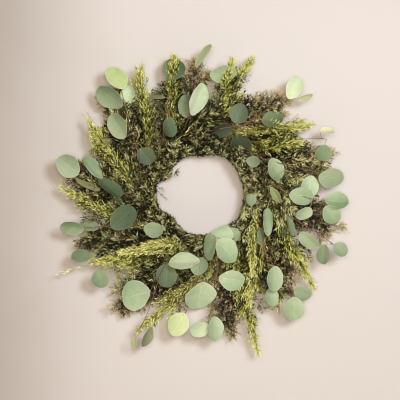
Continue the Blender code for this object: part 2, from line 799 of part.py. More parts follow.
def seat_routes(clearance):
    """Every stem's route by its node's name, the eucalyptus first."""
    routes = {}
    for stem in EUCALYPTUS:
        tip = CENTRE + Vector((stem.tip[0] / 1000, -STEM_TIP_DEPTH, stem.tip[1] / 1000))
        wanted = (stem.root, STEM_SIDE, tip, STEM_MIDDLE_DEPTH, (STEM_ROOT, STEM_TIP), STEM_STEP)
        routes[stem.name] = seat_route(clearance, stem.name, *wanted)
    for spray in SPRAYS:
        habit = spray.habit
        tip = place(spray.tip, spray.radius, spray.tip_depth)
        wanted = (spray.root, habit.side, tip, spray.middle_depth, (habit.root, habit.tip), habit.step)
        routes[spray.name] = seat_route(clearance, spray.name, *wanted)
    return routes


def main():
    """Builds the whole wreath in an empty scene."""
    for old in list(bpy.data.objects):
        bpy.data.objects.remove(old)
    clearance = Clearance(keep_clear_boxes())
    add_support(clearance)
    routes = seat_routes(clearance)
    leaf_green = make_material("eucalyptus", (0.30, 0.42, 0.28), 0.55)
    for stem in EUCALYPTUS:
        add_node(stem.name, leaf_green, clearance, partial(stem_meshes, stem, routes[stem.name], clearance))
    for spray in SPRAYS:
        green = make_material(spray.name, spray.habit.colour, 0.7)
        add_node(spray.name, green, clearance, partial(spray_meshes, spray, routes[spray.name], clearance))


main()
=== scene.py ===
"""The looks of a hanging wreath: silver-dollar eucalyptus, feathery plumes and brown filler on a vine ring.

Lengths are in metres unless a name ends in _mm. The face looks along -Y, +Z is up, and the origin is where
the hanging loop bears on its hook. Clock angles run clockwise from the top as seen from the front. Each stem,
leaf and spray keeps the place that the CAD gives it, and replaces its node with finer pieces.
"""

import logging
import math
from collections.abc import Callable, Mapping, Sequence
from dataclasses import dataclass, replace
from enum import Enum, IntEnum, StrEnum
from functools import cache, partial
from typing import Any

import bpy
import numpy as np
from mathutils import Matrix, Vector
from numpy.typing import NDArray


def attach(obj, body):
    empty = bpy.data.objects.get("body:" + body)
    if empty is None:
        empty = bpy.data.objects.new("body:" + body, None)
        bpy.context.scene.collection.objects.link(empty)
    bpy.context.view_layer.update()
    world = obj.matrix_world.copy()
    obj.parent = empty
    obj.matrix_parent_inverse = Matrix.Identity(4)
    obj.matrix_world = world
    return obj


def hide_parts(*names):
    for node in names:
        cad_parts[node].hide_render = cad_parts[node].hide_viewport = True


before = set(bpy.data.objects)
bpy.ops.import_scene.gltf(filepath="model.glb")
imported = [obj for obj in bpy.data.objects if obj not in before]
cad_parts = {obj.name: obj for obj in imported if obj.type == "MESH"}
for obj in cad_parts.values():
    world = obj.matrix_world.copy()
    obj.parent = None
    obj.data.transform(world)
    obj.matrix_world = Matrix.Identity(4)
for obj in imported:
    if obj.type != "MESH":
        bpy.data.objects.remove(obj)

LOG = logging.getLogger("wreath")
Numbers = NDArray[np.float64]
Indices = NDArray[np.int64]
Point = tuple[float, float, float]
Rng = np.random.Generator
Piece = bpy.types.Object
Material = bpy.types.Material
Adder = Callable[..., bpy.types.NodeSocket]

SEED = 11
# A colour mix's sockets by number, as their names repeat: its two colours and its result
MIX_A, MIX_B, MIX_RESULT = 6, 7, 2
NOISE_RANGE = (0.3, 0.7)  # where nearly all of a noise's values are

# As in the CAD: the ring, the stems' roots, the wire round them, the loop behind, and the hole's middle
GAP = 0.0003
RING_RADIUS, RING_CREST = 0.115, 0.012
RING_STRANDS, RING_TWISTS = 4, 3
ROOT_RADIUS, WIRE_RADIUS = 0.0015, 0.0005
LOOP_STANDOFF, LOOP_HEIGHT, LOOP_WIRE_RADIUS = 0.0185, 0.016, 0.001
CENTRE = Vector((0.0, -LOOP_STANDOFF, -LOOP_HEIGHT - LOOP_WIRE_RADIUS - RING_RADIUS))

# The photograph's side, 400 pixels of 1.92 mm, and its middle, 6 pixels below the hole's, before the ring
PHOTO_SPAN = 0.768
PHOTO_MIDDLE = CENTRE + Vector((0.0, -0.0465, -0.0115))

# How a stem runs: bound along the ring for some degrees, then in one curve out to its tip
BOUND_DEGREES = 6
ROUTE_OUTWARD, ROUTE_FIRST, ROUTE_SECOND = 0.35, 0.33, 0.62
FINE_STEPS = 46
# How far a stem may have been moved from its wanted route to pass its neighbours
CLOCK_SHIFTS = tuple(1.5 * step for step in range(-6, 7))
LIFTS = tuple(0.0003 * step for step in range(-9, 5))
DEEPENINGS = tuple(0.006 * step for step in range(-2, 3))
# How a petiole leaves its stem, and how deep a blade's middle lies behind its rim, by its radius
STEM_BARE, PETIOLE_REACH = 4, 0.009
JOINT_SHARES, JOINT_COST = (0.1, 0.4, 0.7, 0.95), 0.001
LEAF_CUP = 0.10
# The petiole's tube, how far its curve follows the stem and the blade, and how far it runs under the blade
PETIOLE_STEPS, PETIOLE_SIDES, PETIOLE_RADIUS, PETIOLE_TAPER = 9, 7, 0.00065, 0.0003
PETIOLE_OFF_STEM, PETIOLE_OFF_BLADE, PETIOLE_OVERLAP, PETIOLE_LEAST = 0.5, 0.45, 0.004, 0.002
SAME_SPOT = 0.00005  # corners of a solid that are this much further off count as equally near

# What grows towards the wall is pressed flat from here on, and goes no deeper than this
FOLIAGE_BACK = -0.002
PRESSED_SHARE, PRESSED_DEPTH = 0.3, 0.003
# The hole's outline, read off: the clock in degrees and the distance from its middle in mm
HOLE_OUTLINE = (
    (0, 77), (30, 89), (50, 90), (63, 87), (90, 90), (110, 90), (127, 92), (150, 84), (180, 84), (200, 81),
    (226, 72), (241, 78), (250, 87), (262, 90), (283, 90), (292, 78), (301, 67), (311, 76), (328, 82),
    (342, 80), (360, 77),
)
HOLE_SHARE = 0.3  # what hangs into the hole is drawn back by this share of its way to the outline
# How far behind a eucalyptus leaf the foliage before it ends up, and how far past its rim, by its radius
LEAFLET_BEHIND, STEM_BEHIND, SHOOT_BEHIND = 0.0015, 0.003, 0.005
SHIELD_EDGE, SHIELD_FADE, SHIELD_REACH = 1.25, 0.3, 0.01
# Inner leaves that would come further forward than this depth keep only this share of that way
INNER_FRONT, INNER_SHARE = -0.042, 0.25
GOLDEN_TURN = math.pi * (3 - math.sqrt(5))
STEEP = 0.95  # a direction that points more to the front or back than this is crossed with +X, not the front
# A leaflet's corners are its root, left edge, middle, right edge and tip. Its tip is paler than its root:
# painted shade by the root and painted light at the tip
LEAFLET_FACES = ((0, 2, 1), (0, 3, 2), (1, 2, 4), (2, 3, 4))
LEAFLET_PALER = (-0.32, -0.02, -0.20, -0.02, 0.22)
# Where its middle and its edges are along and above it, and how far its tip drops, by its length
LEAFLET_MIDDLE, LEAFLET_EDGES, LEAFLET_DROP = (0.45, 0.02), (0.42, 0.07), 0.10


class Slot(StrEnum):
    """The record's material slots."""

    VINE = "grapevine"
    WIRE = "florist_wire"
    EUCALYPTUS = "eucalyptus_leaf"
    YELLOW_PLUME = "yellow_green_plume"
    OLIVE_PLUME = "olive_plume"
    FILLER = "brown_filler"
    SPRIG = "olive_sprig"


class StemSkin(IntEnum):
    """The material slots of a eucalyptus stem's mesh. Each further tone of leaf has the next one."""

    BARK = 0
    PETIOLE = 1
    BLADE = 2


class SpraySkin(IntEnum):
    """The material slots of a spray's mesh."""

    BARK = 0
    LEAFLET = 1
    # The inner leaflets, dark with painted shade
    OLD_LEAF = 2


def linear(code: str) -> tuple[float, float, float, float]:
    """Turns an sRGB hex colour into Blender's linear one.

    Args:
        code: The colour as "#RRGGBB".

    Returns:
        Red, green, blue and alpha in linear light.
    """
    parts = [int(code[i : i + 2], 16) / 255 for i in (1, 3, 5)]
    light = [c / 12.92 if c <= 0.04045 else ((c + 0.055) / 1.055) ** 2.4 for c in parts]
    return (light[0], light[1], light[2], 1.0)


def feed(node: bpy.types.Node, inputs: Sequence[Any] | Mapping[str | int, Any]) -> None:
    """Gives each input of a node its value, or the socket that feeds it.

    Args:
        node: The node.
        inputs: The values and sockets, in the order of the inputs or by their names.
    """
    for name, value in inputs.items() if isinstance(inputs, Mapping) else enumerate(inputs):
        if isinstance(value, bpy.types.NodeSocket):
            node.id_data.links.new(value, node.inputs[name])
        else:
            node.inputs[name].default_value = value


def add_node(
    tree: bpy.types.NodeTree,
    kind: str,
    inputs: Sequence[Any] | Mapping[str | int, Any] = (),
    output: str | int = 0,
    stops: Sequence[tuple[float, str]] = (),
    **settings: Any,
) -> bpy.types.NodeSocket:
    """Adds a node with its settings and links.

    Args:
        tree: The node tree that it goes in.
        kind: Blender's name of the node type, without the ShaderNode before it.
        inputs: A value for each input, or the socket that feeds it.
        output: Which of its outputs is wanted.
        stops: The place and hex colour of each stop, where the node is a colour ramp.
        settings: The node's own properties.

    Returns:
        The wanted output.
    """
    node = tree.nodes.new("ShaderNode" + kind)
    for name, value in settings.items():
        setattr(node, name, value)
    feed(node, inputs)
    for i, (place_on_ramp, code) in enumerate(stops):
        elements = node.color_ramp.elements
        stop = elements[i] if i < 2 else elements.new(place_on_ramp)
        stop.position = place_on_ramp
        stop.color = linear(code)
    return node.outputs[output]


def new_material(name: str) -> tuple[Material, Adder, bpy.types.Node]:
    """Makes a material with its Principled shader.

    Args:
        name: The material's name.

    Returns:
        The material, add_node for its node tree, and its shader.
    """
    material = bpy.data.materials.new(name)
    material.use_nodes = True
    tree = material.node_tree
    return material, partial(add_node, tree), tree.nodes["Principled BSDF"]


@dataclass(frozen=True)
class WaxyLeaf:
    """A silver-dollar leaf: smooth, matt from its waxy bloom, with a pale midrib and faint side veins.

    Its light runs from shaded to lit along the body's colours, by the shares that follow them: painted light
    on one half, and the leaf's own tone in its bloom and its own number.
    """

    name: str
    shaded: str
    body: str
    lit: str
    vein: str
    vein_strength: float = 0.5
    base_light: float = 0.42
    half_light: float = 0.22
    tip_light: float = -0.12
    bloom_light: float = 0.35
    own_light: float = 0.30
    bloom_mm: float = 12.0
    midrib: tuple[float, float] = (0.008, 0.036)
    vein_slope: float = -0.8
    vein_waves: float = 22.0
    vein_share: float = 0.20
    margin_share: float = 0.45
    relief: float = 0.0004
    roughness: tuple[float, float] = (0.46, 0.66)
    ramp: tuple[float, float, float] = (0.30, 0.62, 0.95)
    midrib_fade: tuple[float, float, float, float] = (0.1, 0.85, 1.0, 0.1)
    vein_bend: float = 0.10
    vein_from: float = 0.86
    margin_from: float = 0.93

    def material(self) -> Material:
        """Makes the leaf's material.

        The bloom spreads the light, so the gloss is weak and wide. The midrib and the margin are paler.

        Returns:
            The material.
        """
        material, add, shader = new_material(self.name)
        blade = add("Attribute", output="Vector", attribute_name="blade")
        across, along, own = add("SeparateXYZ", (blade,)).node.outputs
        side = add("Math", (across,), operation="ABSOLUTE")
        place_3d = add("TexCoord", output="Object")
        bloom = add("TexNoise", {"Vector": place_3d, "Scale": 1000 / self.bloom_mm, "Detail": 4.0})
        # One half of a leaf is painted lighter, as its fold would turn it to the light
        light = add("Math", (across, self.half_light, self.base_light), operation="MULTIPLY_ADD")
        for part, share in ((along, self.tip_light), (bloom, self.bloom_light), (own, self.own_light)):
            light = add("Math", (part, share, light), operation="MULTIPLY_ADD")
        low, middle, high = self.ramp
        body = add("ValToRGB", (light,), stops=((low, self.shaded), (high, self.lit), (middle, self.body)))
        midrib = add("MapRange", (side, *self.midrib, 1.0, 0.0), interpolation_type="SMOOTHSTEP")
        # The midrib fades out short of the tip
        fade = add("MapRange", (along, *self.midrib_fade))
        rib = add("Math", (midrib, fade), operation="MULTIPLY")
        # Six or seven pairs of side veins, at about 50 degrees to the midrib, which the bloom bends a little
        slope = add("Math", (side, self.vein_slope, along), operation="MULTIPLY_ADD")
        wander = add("Math", (bloom, self.vein_bend, slope), operation="MULTIPLY_ADD")
        turns = add("Math", (wander, self.vein_waves), operation="MULTIPLY")
        wave = add("Math", (turns,), operation="SINE")
        crests = (wave, self.vein_from, 1.0, 0.0, self.vein_share)
        veins = add("MapRange", crests, interpolation_type="SMOOTHSTEP")
        net = add("Math", (rib, veins), operation="MAXIMUM")
        shown = add("Math", (net, self.vein_strength), operation="MULTIPLY")
        pale = linear(self.vein)
        veined = add("Mix", {0: shown, MIX_A: body, MIX_B: pale}, MIX_RESULT, data_type="RGBA")
        reach = add("VectorMath", (blade, (1, 1, 0)), operation="MULTIPLY")
        radius = add("VectorMath", (reach,), "Value", operation="LENGTH")
        margin = add("MapRange", (radius, self.margin_from, 1.0, 0.0, self.margin_share))
        edged = add("Mix", {0: margin, MIX_A: veined, MIX_B: pale}, MIX_RESULT, data_type="RGBA")
        gloss = add("MapRange", (bloom, *NOISE_RANGE, *self.roughness))
        bump = add("Bump", {"Strength": 0.35, "Distance": self.relief, "Height": net})
        feed(shader, {"Base Color": edged, "Roughness": gloss, "Specular IOR Level": 0.35, "Normal": bump})
        return material


@dataclass(frozen=True)
class SoftLeaflets:
    """Small soft leaflets, matt all over: darker near the root and lighter towards each tip, partly young
    growth and partly painted shade and light, and darkest where painted shade lies deep in the foliage.
    """

    name: str
    deep: str
    low: str
    high: str
    tip: str
    patch_mm: float = 15.0
    patch_light: float = 0.12
    age_light: float = 0.55
    tint_light: float = 0.5
    roughness: float = 0.62
    ramp: tuple[float, float, float, float] = (0.14, 0.34, 0.55, 0.80)

    def material(self) -> Material:
        """Makes the leaflets' material.

        Returns:
            The material.
        """
        material, add, shader = new_material(self.name)
        age, tint = (add("Attribute", output="Fac", attribute_name=key) for key in ("age", "tint"))
        place_3d = add("TexCoord", output="Object")
        # Shoots of one age grow together in patches
        patch = add("TexNoise", {"Vector": place_3d, "Scale": 1000 / self.patch_mm, "Detail": 2.0})
        drift = add("MapRange", (patch, *NOISE_RANGE, -self.patch_light, self.patch_light))
        aged = add("Math", (age, self.age_light, drift), operation="MULTIPLY_ADD")
        light = add("Math", (tint, self.tint_light, aged), operation="MULTIPLY_ADD")
        first, second, third, last = self.ramp
        stops = ((first, self.deep), (last, self.tip), (second, self.low), (third, self.high))
        colour = add("ValToRGB", (light,), stops=stops)
        feed(shader, {"Base Color": colour, "Roughness": self.roughness, "Specular IOR Level": 0.3})
        return material


@dataclass(frozen=True)
class Bark:
    """A woody or green stem: streaks of two colours, fine ridges, and painted shade deep in the foliage."""

    name: str
    dark: str
    light: str
    streak_mm: float
    ridge_mm: float
    roughness: float = 0.75
    shade: str = "#15130A"
    ramp: tuple[float, float] = (0.34, 0.68)
    shade_range: tuple[float, float] = (-0.4, 0.2)

    def material(self) -> Material:
        """Makes the stem's material.

        Returns:
            The material.
        """
        material, add, shader = new_material(self.name)
        place_3d = add("TexCoord", output="Object")
        streaks = add("TexNoise", {"Vector": place_3d, "Scale": 1000 / self.streak_mm, "Detail": 6.0})
        bark = add("ValToRGB", (streaks,), stops=tuple(zip(self.ramp, (self.dark, self.light), strict=True)))
        # Painted shade: where the tint is low, deep in the foliage, the bark turns to the shade colour
        tint = add("Attribute", output="Fac", attribute_name="tint")
        open_air = add("MapRange", (tint, *self.shade_range))
        shaded = {0: open_air, MIX_A: linear(self.shade), MIX_B: bark}
        colour = add("Mix", shaded, MIX_RESULT, data_type="RGBA")
        bump = add("Bump", {"Strength": 0.7, "Distance": self.ridge_mm / 1000, "Height": streaks})
        feed(shader, {"Base Color": colour, "Roughness": self.roughness, "Normal": bump})
        return material


@dataclass(frozen=True)
class EnamelledWire:
    """Florist's steel wire under a thin coat of brown-green enamel, worn to the steel in places."""

    name: str
    enamel: str
    worn: str
    scuff_mm: float = 1.5
    relief: float = 0.0001
    roughness: float = 0.38
    worn_range: tuple[float, float] = (0.6, 0.68)

    def material(self) -> Material:
        """Makes the wire's material.

        Returns:
            The material.
        """
        material, add, shader = new_material(self.name)
        place_3d = add("TexCoord", output="Object")
        scuffs = add("TexNoise", {"Vector": place_3d, "Scale": 1000 / self.scuff_mm, "Detail": 5.0})
        bare = add("MapRange", (scuffs, *self.worn_range))
        coat = {0: bare, MIX_A: linear(self.enamel), MIX_B: linear(self.worn)}
        colour = add("Mix", coat, MIX_RESULT, data_type="RGBA")
        bump = add("Bump", {"Strength": 0.3, "Distance": self.relief, "Height": scuffs})
        feed(shader, {"Base Color": colour, "Metallic": bare, "Roughness": self.roughness, "Normal": bump})
        return material


Finish = WaxyLeaf | SoftLeaflets | Bark | EnamelledWire


@cache
def dressed(finish: Finish) -> Material:
    """Makes a finish's material the first time that it is asked for."""
    return finish.material()


class Tone(Enum):
    """The colours that the eucalyptus leaves have, from old and shaded to young and lit: their shade and
    light are painted.
    """

    SHADE = WaxyLeaf("eucalyptus_leaf_shade", "#2F3A28", "#46523A", "#5F6C4F", "#6E7B5C", 0.25)
    DARK = WaxyLeaf("eucalyptus_leaf_dark", "#43553D", "#5A6D4F", "#71845F", "#8A9A77", 0.3)
    OLIVE = WaxyLeaf("eucalyptus_leaf_olive", "#6A7350", "#868C66", "#9FA57C", "#B2B68E", 0.3)
    SAGE = WaxyLeaf("eucalyptus_leaf_sage", "#6E8262", "#8B9E7B", "#A3B492", "#BBC8A6", 0.35)
    JADE = WaxyLeaf("eucalyptus_leaf_jade", "#809772", "#9FB48E", "#B6C8A4", "#CCD8B6", 0.4)
    MINT = WaxyLeaf("eucalyptus_leaf_mint", "#8FA984", "#B0C69F", "#C9D9B4", "#DEE8C8", 0.45)
    YOUNG = WaxyLeaf("eucalyptus_leaf_young", "#93AB6E", "#B0C686", "#CCDC9E", "#E2ECBE", 0.4)
    LIME = WaxyLeaf("eucalyptus_leaf_lime", "#A2B77C", "#C3D39A", "#DAE4B0", "#EAF0C8", 0.45)
    PALE = WaxyLeaf("eucalyptus_leaf_pale", "#AFC69C", "#D2E2BC", "#E6F0D0", "#F2F7E0", 0.4)
    FROST = WaxyLeaf("eucalyptus_leaf_frost", "#A6C296", "#CFE2BB", "#E6F1D4", "#F1F7E2", 0.3)
    CREAM = WaxyLeaf("eucalyptus_leaf_cream", "#C6CC9C", "#E6E9BE", "#F4F5D4", "#FAFAE4", 0.4)


RED_STEM = Bark("eucalyptus_stem_red_bark", "#66402F", "#A37660", 3.0, 0.15, 0.6)
PETIOLE_SKIN = Bark("eucalyptus_petiole_skin", "#8C7A58", "#B4B284", 2.0, 0.05, 0.55)
VINE_BARK = Bark("grapevine_bark", "#3A2A1D", "#7A5E45", 4.0, 0.8, 0.9)
TWIG_BARK = Bark("dry_twig_bark", "#433722", "#7A6B49", 2.0, 0.1, 0.8)
GREEN_STEM = Bark("plume_stem_green_bark", "#5B5328", "#8F8844", 2.0, 0.1, 0.7)
WIRE = EnamelledWire("florist_wire_enamel", "#2F3A28", "#8A8A84")

YELLOW_GREEN = SoftLeaflets("plume_leaflets_yellow_green", "#13150A", "#686D2C", "#BCC258", "#ECEC9E")
OLIVE_GREEN = SoftLeaflets("plume_leaflets_olive", "#14160A", "#5E632E", "#AAAD68", "#E2E0A8")
BROWN_FLUFF = SoftLeaflets("filler_leaflets_brown", "#272112", "#7B6F46", "#BFB07E", "#E2D7AA")
EDGE_GREEN = SoftLeaflets("sprig_leaflets_olive", "#14160A", "#5C6131", "#A9AB6B", "#E2E0AA")
# The inner leaflets: dark colours that paint the shade deep in the wreath
OLD_GREEN = SoftLeaflets("inner_leaflets_old_green", "#121309", "#34371B", "#6C6E3C", "#A4A46C")


def place(clock: float, radius: float, depth: float) -> Vector:
    """Gives a point on the wreath.

    Args:
        clock: Degrees clockwise from the top.
        radius: Distance from the middle of the hole.
        depth: Distance in front of the ring.

    Returns:
        The point.
    """
    angle = math.radians(clock)
    return CENTRE + Vector((radius * math.sin(angle), -depth, radius * math.cos(angle)))


def on_ring(clock: float, side: float, height: float) -> Vector:
    """Gives a point on or round the ring.

    Args:
        clock: Degrees clockwise from the top.
        side: Degrees round the ring's section, from its front to its outer edge.
        height: Distance from the ring's middle line.

    Returns:
        The point.
    """
    turn = math.radians(side)
    return place(clock, RING_RADIUS + height * math.sin(turn), height * math.cos(turn))


def unit(vectors: Numbers) -> Numbers:
    """Scales vectors to a length of one."""
    return vectors / np.maximum(np.linalg.norm(vectors, axis=-1, keepdims=True), 1e-12)


def crosswise(directions: Numbers) -> tuple[Numbers, Numbers]:
    """Finds two directions square to each given one.

    Args:
        directions: Unit vectors, of shape (..., 3).

    Returns:
        One that lies in the wreath's plane where it can, and one that points to the front there.
    """
    front = np.broadcast_to(np.array([0.0, -1.0, 0.0]), directions.shape)
    steep = np.abs(directions[..., 1:2]) > STEEP
    guide = np.where(steep, np.array([1.0, 0.0, 0.0]), front)
    side = unit(np.cross(directions, guide))
    return side, unit(np.cross(side, directions))


class MeshDraft:
    """Vertices and faces gathered until they become one mesh, with the numbers that colour each vertex."""

    def __init__(self) -> None:
        """Starts an empty draft."""
        self.points: list[Numbers] = []
        self.faces: list[Indices] = []
        self.slots: list[int] = []
        self.tint: list[Numbers] = []
        self.age: list[Numbers] = []
        self.blade: list[Numbers] = []
        self.count = 0

    def add(
        self,
        points: Numbers,
        faces: Indices,
        slot: int = 0,
        tint: float | Numbers = 0.5,
        age: float | Numbers = 0.5,
        blade: Numbers | None = None,
    ) -> None:
        """Adds vertices with the faces that join them.

        Args:
            points: Their places, of shape (..., 3).
            faces: Indices into points, three or four to a face.
            slot: The material slot of the faces.
            tint: How light each vertex's own shoot is, from 0 to 1, less any painted shade.
            age: How far out each vertex has grown, from 0 to 1.
            blade: Where each vertex is on its leaf, across and along, and the leaf's own number.
        """
        flat = points.reshape(-1, 3)
        number = len(flat)
        self.points.append(flat)
        self.faces.append(faces + self.count)
        self.slots.append(slot)
        self.tint.append(np.broadcast_to(tint, points.shape[:-1]).reshape(-1))
        self.age.append(np.broadcast_to(age, points.shape[:-1]).reshape(-1))
        self.blade.append(np.zeros((number, 3)) if blade is None else blade.reshape(-1, 3))
        self.count += number

    def add_tubes(
        self,
        lines: Numbers,
        radii: Numbers,
        sides: int,
        slot: int = 0,
        tint: float | Numbers = 0.5,
        age: float | Numbers = 0.5,
        closed: bool = False,
    ) -> None:
        """Adds round tubes along lines of the same number of points.

        Args:
            lines: Their points, of shape (tubes, steps, 3).
            radii: The radius at each point, of shape (tubes, steps).
            sides: How many faces go round.
            slot: The material slot.
            tint: One number for each tube, or for each of its points.
            age: One number for each tube, or for each of its points.
            closed: Whether each line ends where it starts.
        """
        tubes, steps, _ = lines.shape
        if closed:
            ahead = np.roll(lines, -1, axis=1) - np.roll(lines, 1, axis=1)
        else:
            ahead = np.gradient(lines, axis=1)
        side, up = crosswise(unit(ahead))
        angles = np.arange(sides) * math.tau / sides
        ring = np.cos(angles)[:, None] * side[:, :, None, :] + np.sin(angles)[:, None] * up[:, :, None, :]
        points = lines[:, :, None, :] + ring * radii[:, :, None, None]
        spans = steps if closed else steps - 1
        step = np.arange(spans)[:, None]
        near = step * sides + np.arange(sides)
        near_next = step * sides + (np.arange(sides) + 1) % sides
        far = ((step + 1) % steps) * sides + np.arange(sides)
        far_next = ((step + 1) % steps) * sides + (np.arange(sides) + 1) % sides
        quads = np.stack([near, near_next, far_next, far], axis=-1).reshape(-1, 4)
        every = (quads[None] + (np.arange(tubes) * steps * sides)[:, None, None]).reshape(-1, 4)
        tints, ages = (n if np.isscalar(n) else np.reshape(n, (tubes, -1, 1)) for n in (tint, age))
        self.add(points, every, slot, tints, ages)

    def add_leaflets(self, leaflets: "Leaflets", slot: int) -> None:
        """Adds small pointed leaflets, each folded along its middle and a little arched.

        Args:
            leaflets: Where they grow and how large they are.
            slot: The material slot.
        """
        along = leaflets.ahead * leaflets.length[:, None]
        across = unit(np.cross(leaflets.ahead, leaflets.up)) * leaflets.width[:, None] / 2
        arch = leaflets.up * leaflets.length[:, None]
        bend = unit(across) * (leaflets.length * leaflets.bend)[:, None]
        root = leaflets.base
        # Its edges stand above its middle, and its tip bends down and to one side
        middle = root + along * LEAFLET_MIDDLE[0] + arch * LEAFLET_MIDDLE[1] - bend * 0.5
        left = root + along * LEAFLET_EDGES[0] - across + arch * LEAFLET_EDGES[1] - bend * 0.5
        right = root + along * LEAFLET_EDGES[0] + across + arch * LEAFLET_EDGES[1] - bend * 0.5
        tip = root + along - arch * LEAFLET_DROP + bend
        points = behind_leaves(np.stack([root, left, middle, right, tip], axis=1), LEAFLET_BEHIND)
        firsts = np.arange(len(root)) * points.shape[1]
        faces = (np.array(LEAFLET_FACES)[None] + firsts[:, None, None]).reshape(-1, 3)
        self.add(points, faces, slot, leaflets.tint[:, None], leaflets.age[:, None] + np.array(LEAFLET_PALER))

    def darken_under(self, canopy: "Canopy") -> None:
        """Darkens what lies deep in the foliage with painted shade, where the leaves get no light.

        Args:
            canopy: How far forward the foliage reaches.
        """
        self.tint = [np.concatenate(self.tint) - canopy.shadow(np.concatenate(self.points))]

    def build(self, name: str, materials: Sequence[Material], smooth: bool = True) -> Piece:
        """Makes the mesh and its object.

        Args:
            name: The object's name.
            materials: The material of each slot.
            smooth: Whether its faces are shaded smooth.

        Returns:
            The object, linked to the scene.
        """
        points = clear_of_wall_and_hole(np.concatenate(self.points))
        sizes = np.concatenate([np.full(len(faces), faces.shape[1]) for faces in self.faces])
        loops = np.concatenate([faces.reshape(-1) for faces in self.faces])
        slots = np.repeat(self.slots, [len(faces) for faces in self.faces])
        mesh = bpy.data.meshes.new(name)
        mesh.vertices.add(len(points))
        mesh.vertices.foreach_set("co", points.astype(np.float32).ravel())
        mesh.loops.add(len(loops))
        mesh.loops.foreach_set("vertex_index", loops.astype(np.int32))
        mesh.polygons.add(len(sizes))
        mesh.polygons.foreach_set("loop_start", (np.cumsum(sizes) - sizes).astype(np.int32))
        mesh.polygons.foreach_set("material_index", slots.astype(np.int32))
        mesh.polygons.foreach_set("use_smooth", np.full(len(sizes), smooth))
        mesh.update(calc_edges=True)
        for key, numbers in (("tint", self.tint), ("age", self.age)):
            layer = mesh.attributes.new(key, "FLOAT", "POINT")
            layer.data.foreach_set("value", np.concatenate(numbers).astype(np.float32))
        layer = mesh.attributes.new("blade", "FLOAT_VECTOR", "POINT")
        layer.data.foreach_set("vector", np.concatenate(self.blade).astype(np.float32).ravel())
        for material in materials:
            mesh.materials.append(material)
        piece = bpy.data.objects.new(name, mesh)
        bpy.context.scene.collection.objects.link(piece)
        return piece


@dataclass(frozen=True)
class Canopy:
    """How far forward the foliage reaches at each place, and how dense it is, on a grid over the wreath: it
    gives the painted shade deep in the foliage.
    """

    front: Numbers
    fill: Numbers

    CELL = 0.006
    REACH = 0.36
    # Foliage gets painted shade from this far behind the front, and full painted shade after some more
    OPEN_DEPTH, SHADE_DEPTH = 0.005, 0.011
    # Less painted shade near the wall, which throws light back
    NEAR_WALL, WALL_SHADE = (-0.024, -0.010), (1, 0.45)
    # What counts as foliage, by the densest cell, and how its density turns into painted shade
    DENSE_ENOUGH, FILL_GAIN, FILL_BASE = 0.1, 1.5, 0.3

    @classmethod
    def cells(cls, points: Numbers) -> tuple[Indices, Indices]:
        """Finds the grid cell of each point.

        Args:
            points: Places, of shape (n, 3).

        Returns:
            The column and the row of each.
        """
        last = int(2 * cls.REACH / cls.CELL) - 1
        columns = (points[:, 0] - CENTRE.x + cls.REACH) / cls.CELL
        rows = (points[:, 2] - CENTRE.z + cls.REACH) / cls.CELL
        return np.clip(columns.astype(int), 0, last), np.clip(rows.astype(int), 0, last)

    @classmethod
    def over(cls, drafts: Sequence[MeshDraft]) -> "Canopy":
        """Measures the foliage.

        Args:
            drafts: The foliage of every spray.

        Returns:
            The canopy, evened out over neighbouring cells.
        """
        size = int(2 * cls.REACH / cls.CELL)
        front, count = np.zeros((size, size)), np.zeros((size, size))
        for draft in drafts:
            points = np.concatenate(draft.points)
            np.minimum.at(front, cls.cells(points), points[:, 1])
            np.add.at(count, cls.cells(points), 1)
        near = cls.evened(cls.evened(count))
        fill = near / np.median(near[near > cls.DENSE_ENOUGH * near.max()])
        fill = np.clip(cls.FILL_GAIN * fill - cls.FILL_BASE, 0, 1)
        return cls(0.5 * front + 0.5 * cls.evened(front), fill)

    @staticmethod
    def evened(grid: Numbers) -> Numbers:
        """Gives each cell the mean of itself and its eight neighbours.

        Args:
            grid: A square grid.

        Returns:
            The evened grid.
        """
        size = len(grid)
        padded = np.pad(grid, 1, mode="edge")
        return np.mean([padded[i : i + size, j : j + size] for i in range(3) for j in range(3)], axis=0)

    def shadow(self, points: Numbers) -> Numbers:
        """Tells how much painted shade the foliage gives each point: none in the open, and most in the
        wreath's middle.

        Args:
            points: Places, of shape (n, 3).

        Returns:
            A share from 0 to 1 for each.
        """
        cells = self.cells(points)
        deep = np.clip((points[:, 1] - self.front[cells] - self.OPEN_DEPTH) / self.SHADE_DEPTH, 0, 1)
        return deep * self.fill[cells] * np.interp(points[:, 1], self.NEAR_WALL, self.WALL_SHADE)


def clear_of_wall_and_hole(points: Numbers) -> Numbers:
    """Presses what reaches the wall flat against it, and draws back what hangs far into the hole.

    Args:
        points: Places, of shape (n, 3).

    Returns:
        The same places, moved where they need it.
    """
    moved = points.copy()
    behind = moved[:, 1] - FOLIAGE_BACK
    pressed = FOLIAGE_BACK + np.minimum(behind * PRESSED_SHARE, PRESSED_DEPTH)
    moved[:, 1] = np.where(behind > 0, pressed, moved[:, 1])
    return out_of_hole(moved, HOLE_SHARE)


def out_of_hole(points: Numbers, share: float | Numbers) -> Numbers:
    """Draws back what hangs into the hole.

    Args:
        points: Places, of shape (..., 3).
        share: How much of the way back to the hole's outline it goes.

    Returns:
        The same places, moved where they need it.
    """
    moved = points.copy()
    flat = moved[..., (0, 2)] - np.array([CENTRE.x, CENTRE.z])
    radius = np.linalg.norm(flat, axis=-1)
    clock = np.degrees(np.arctan2(flat[..., 0], flat[..., 1])) % 360
    outline = np.array(HOLE_OUTLINE)
    inside = np.maximum(np.interp(clock, outline[:, 0], outline[:, 1] / 1000) - radius, 0)
    grown = (radius + inside * share) / np.maximum(radius, 1e-6)
    moved[..., 0] = CENTRE.x + flat[..., 0] * grown
    moved[..., 2] = CENTRE.z + flat[..., 1] * grown
    return moved


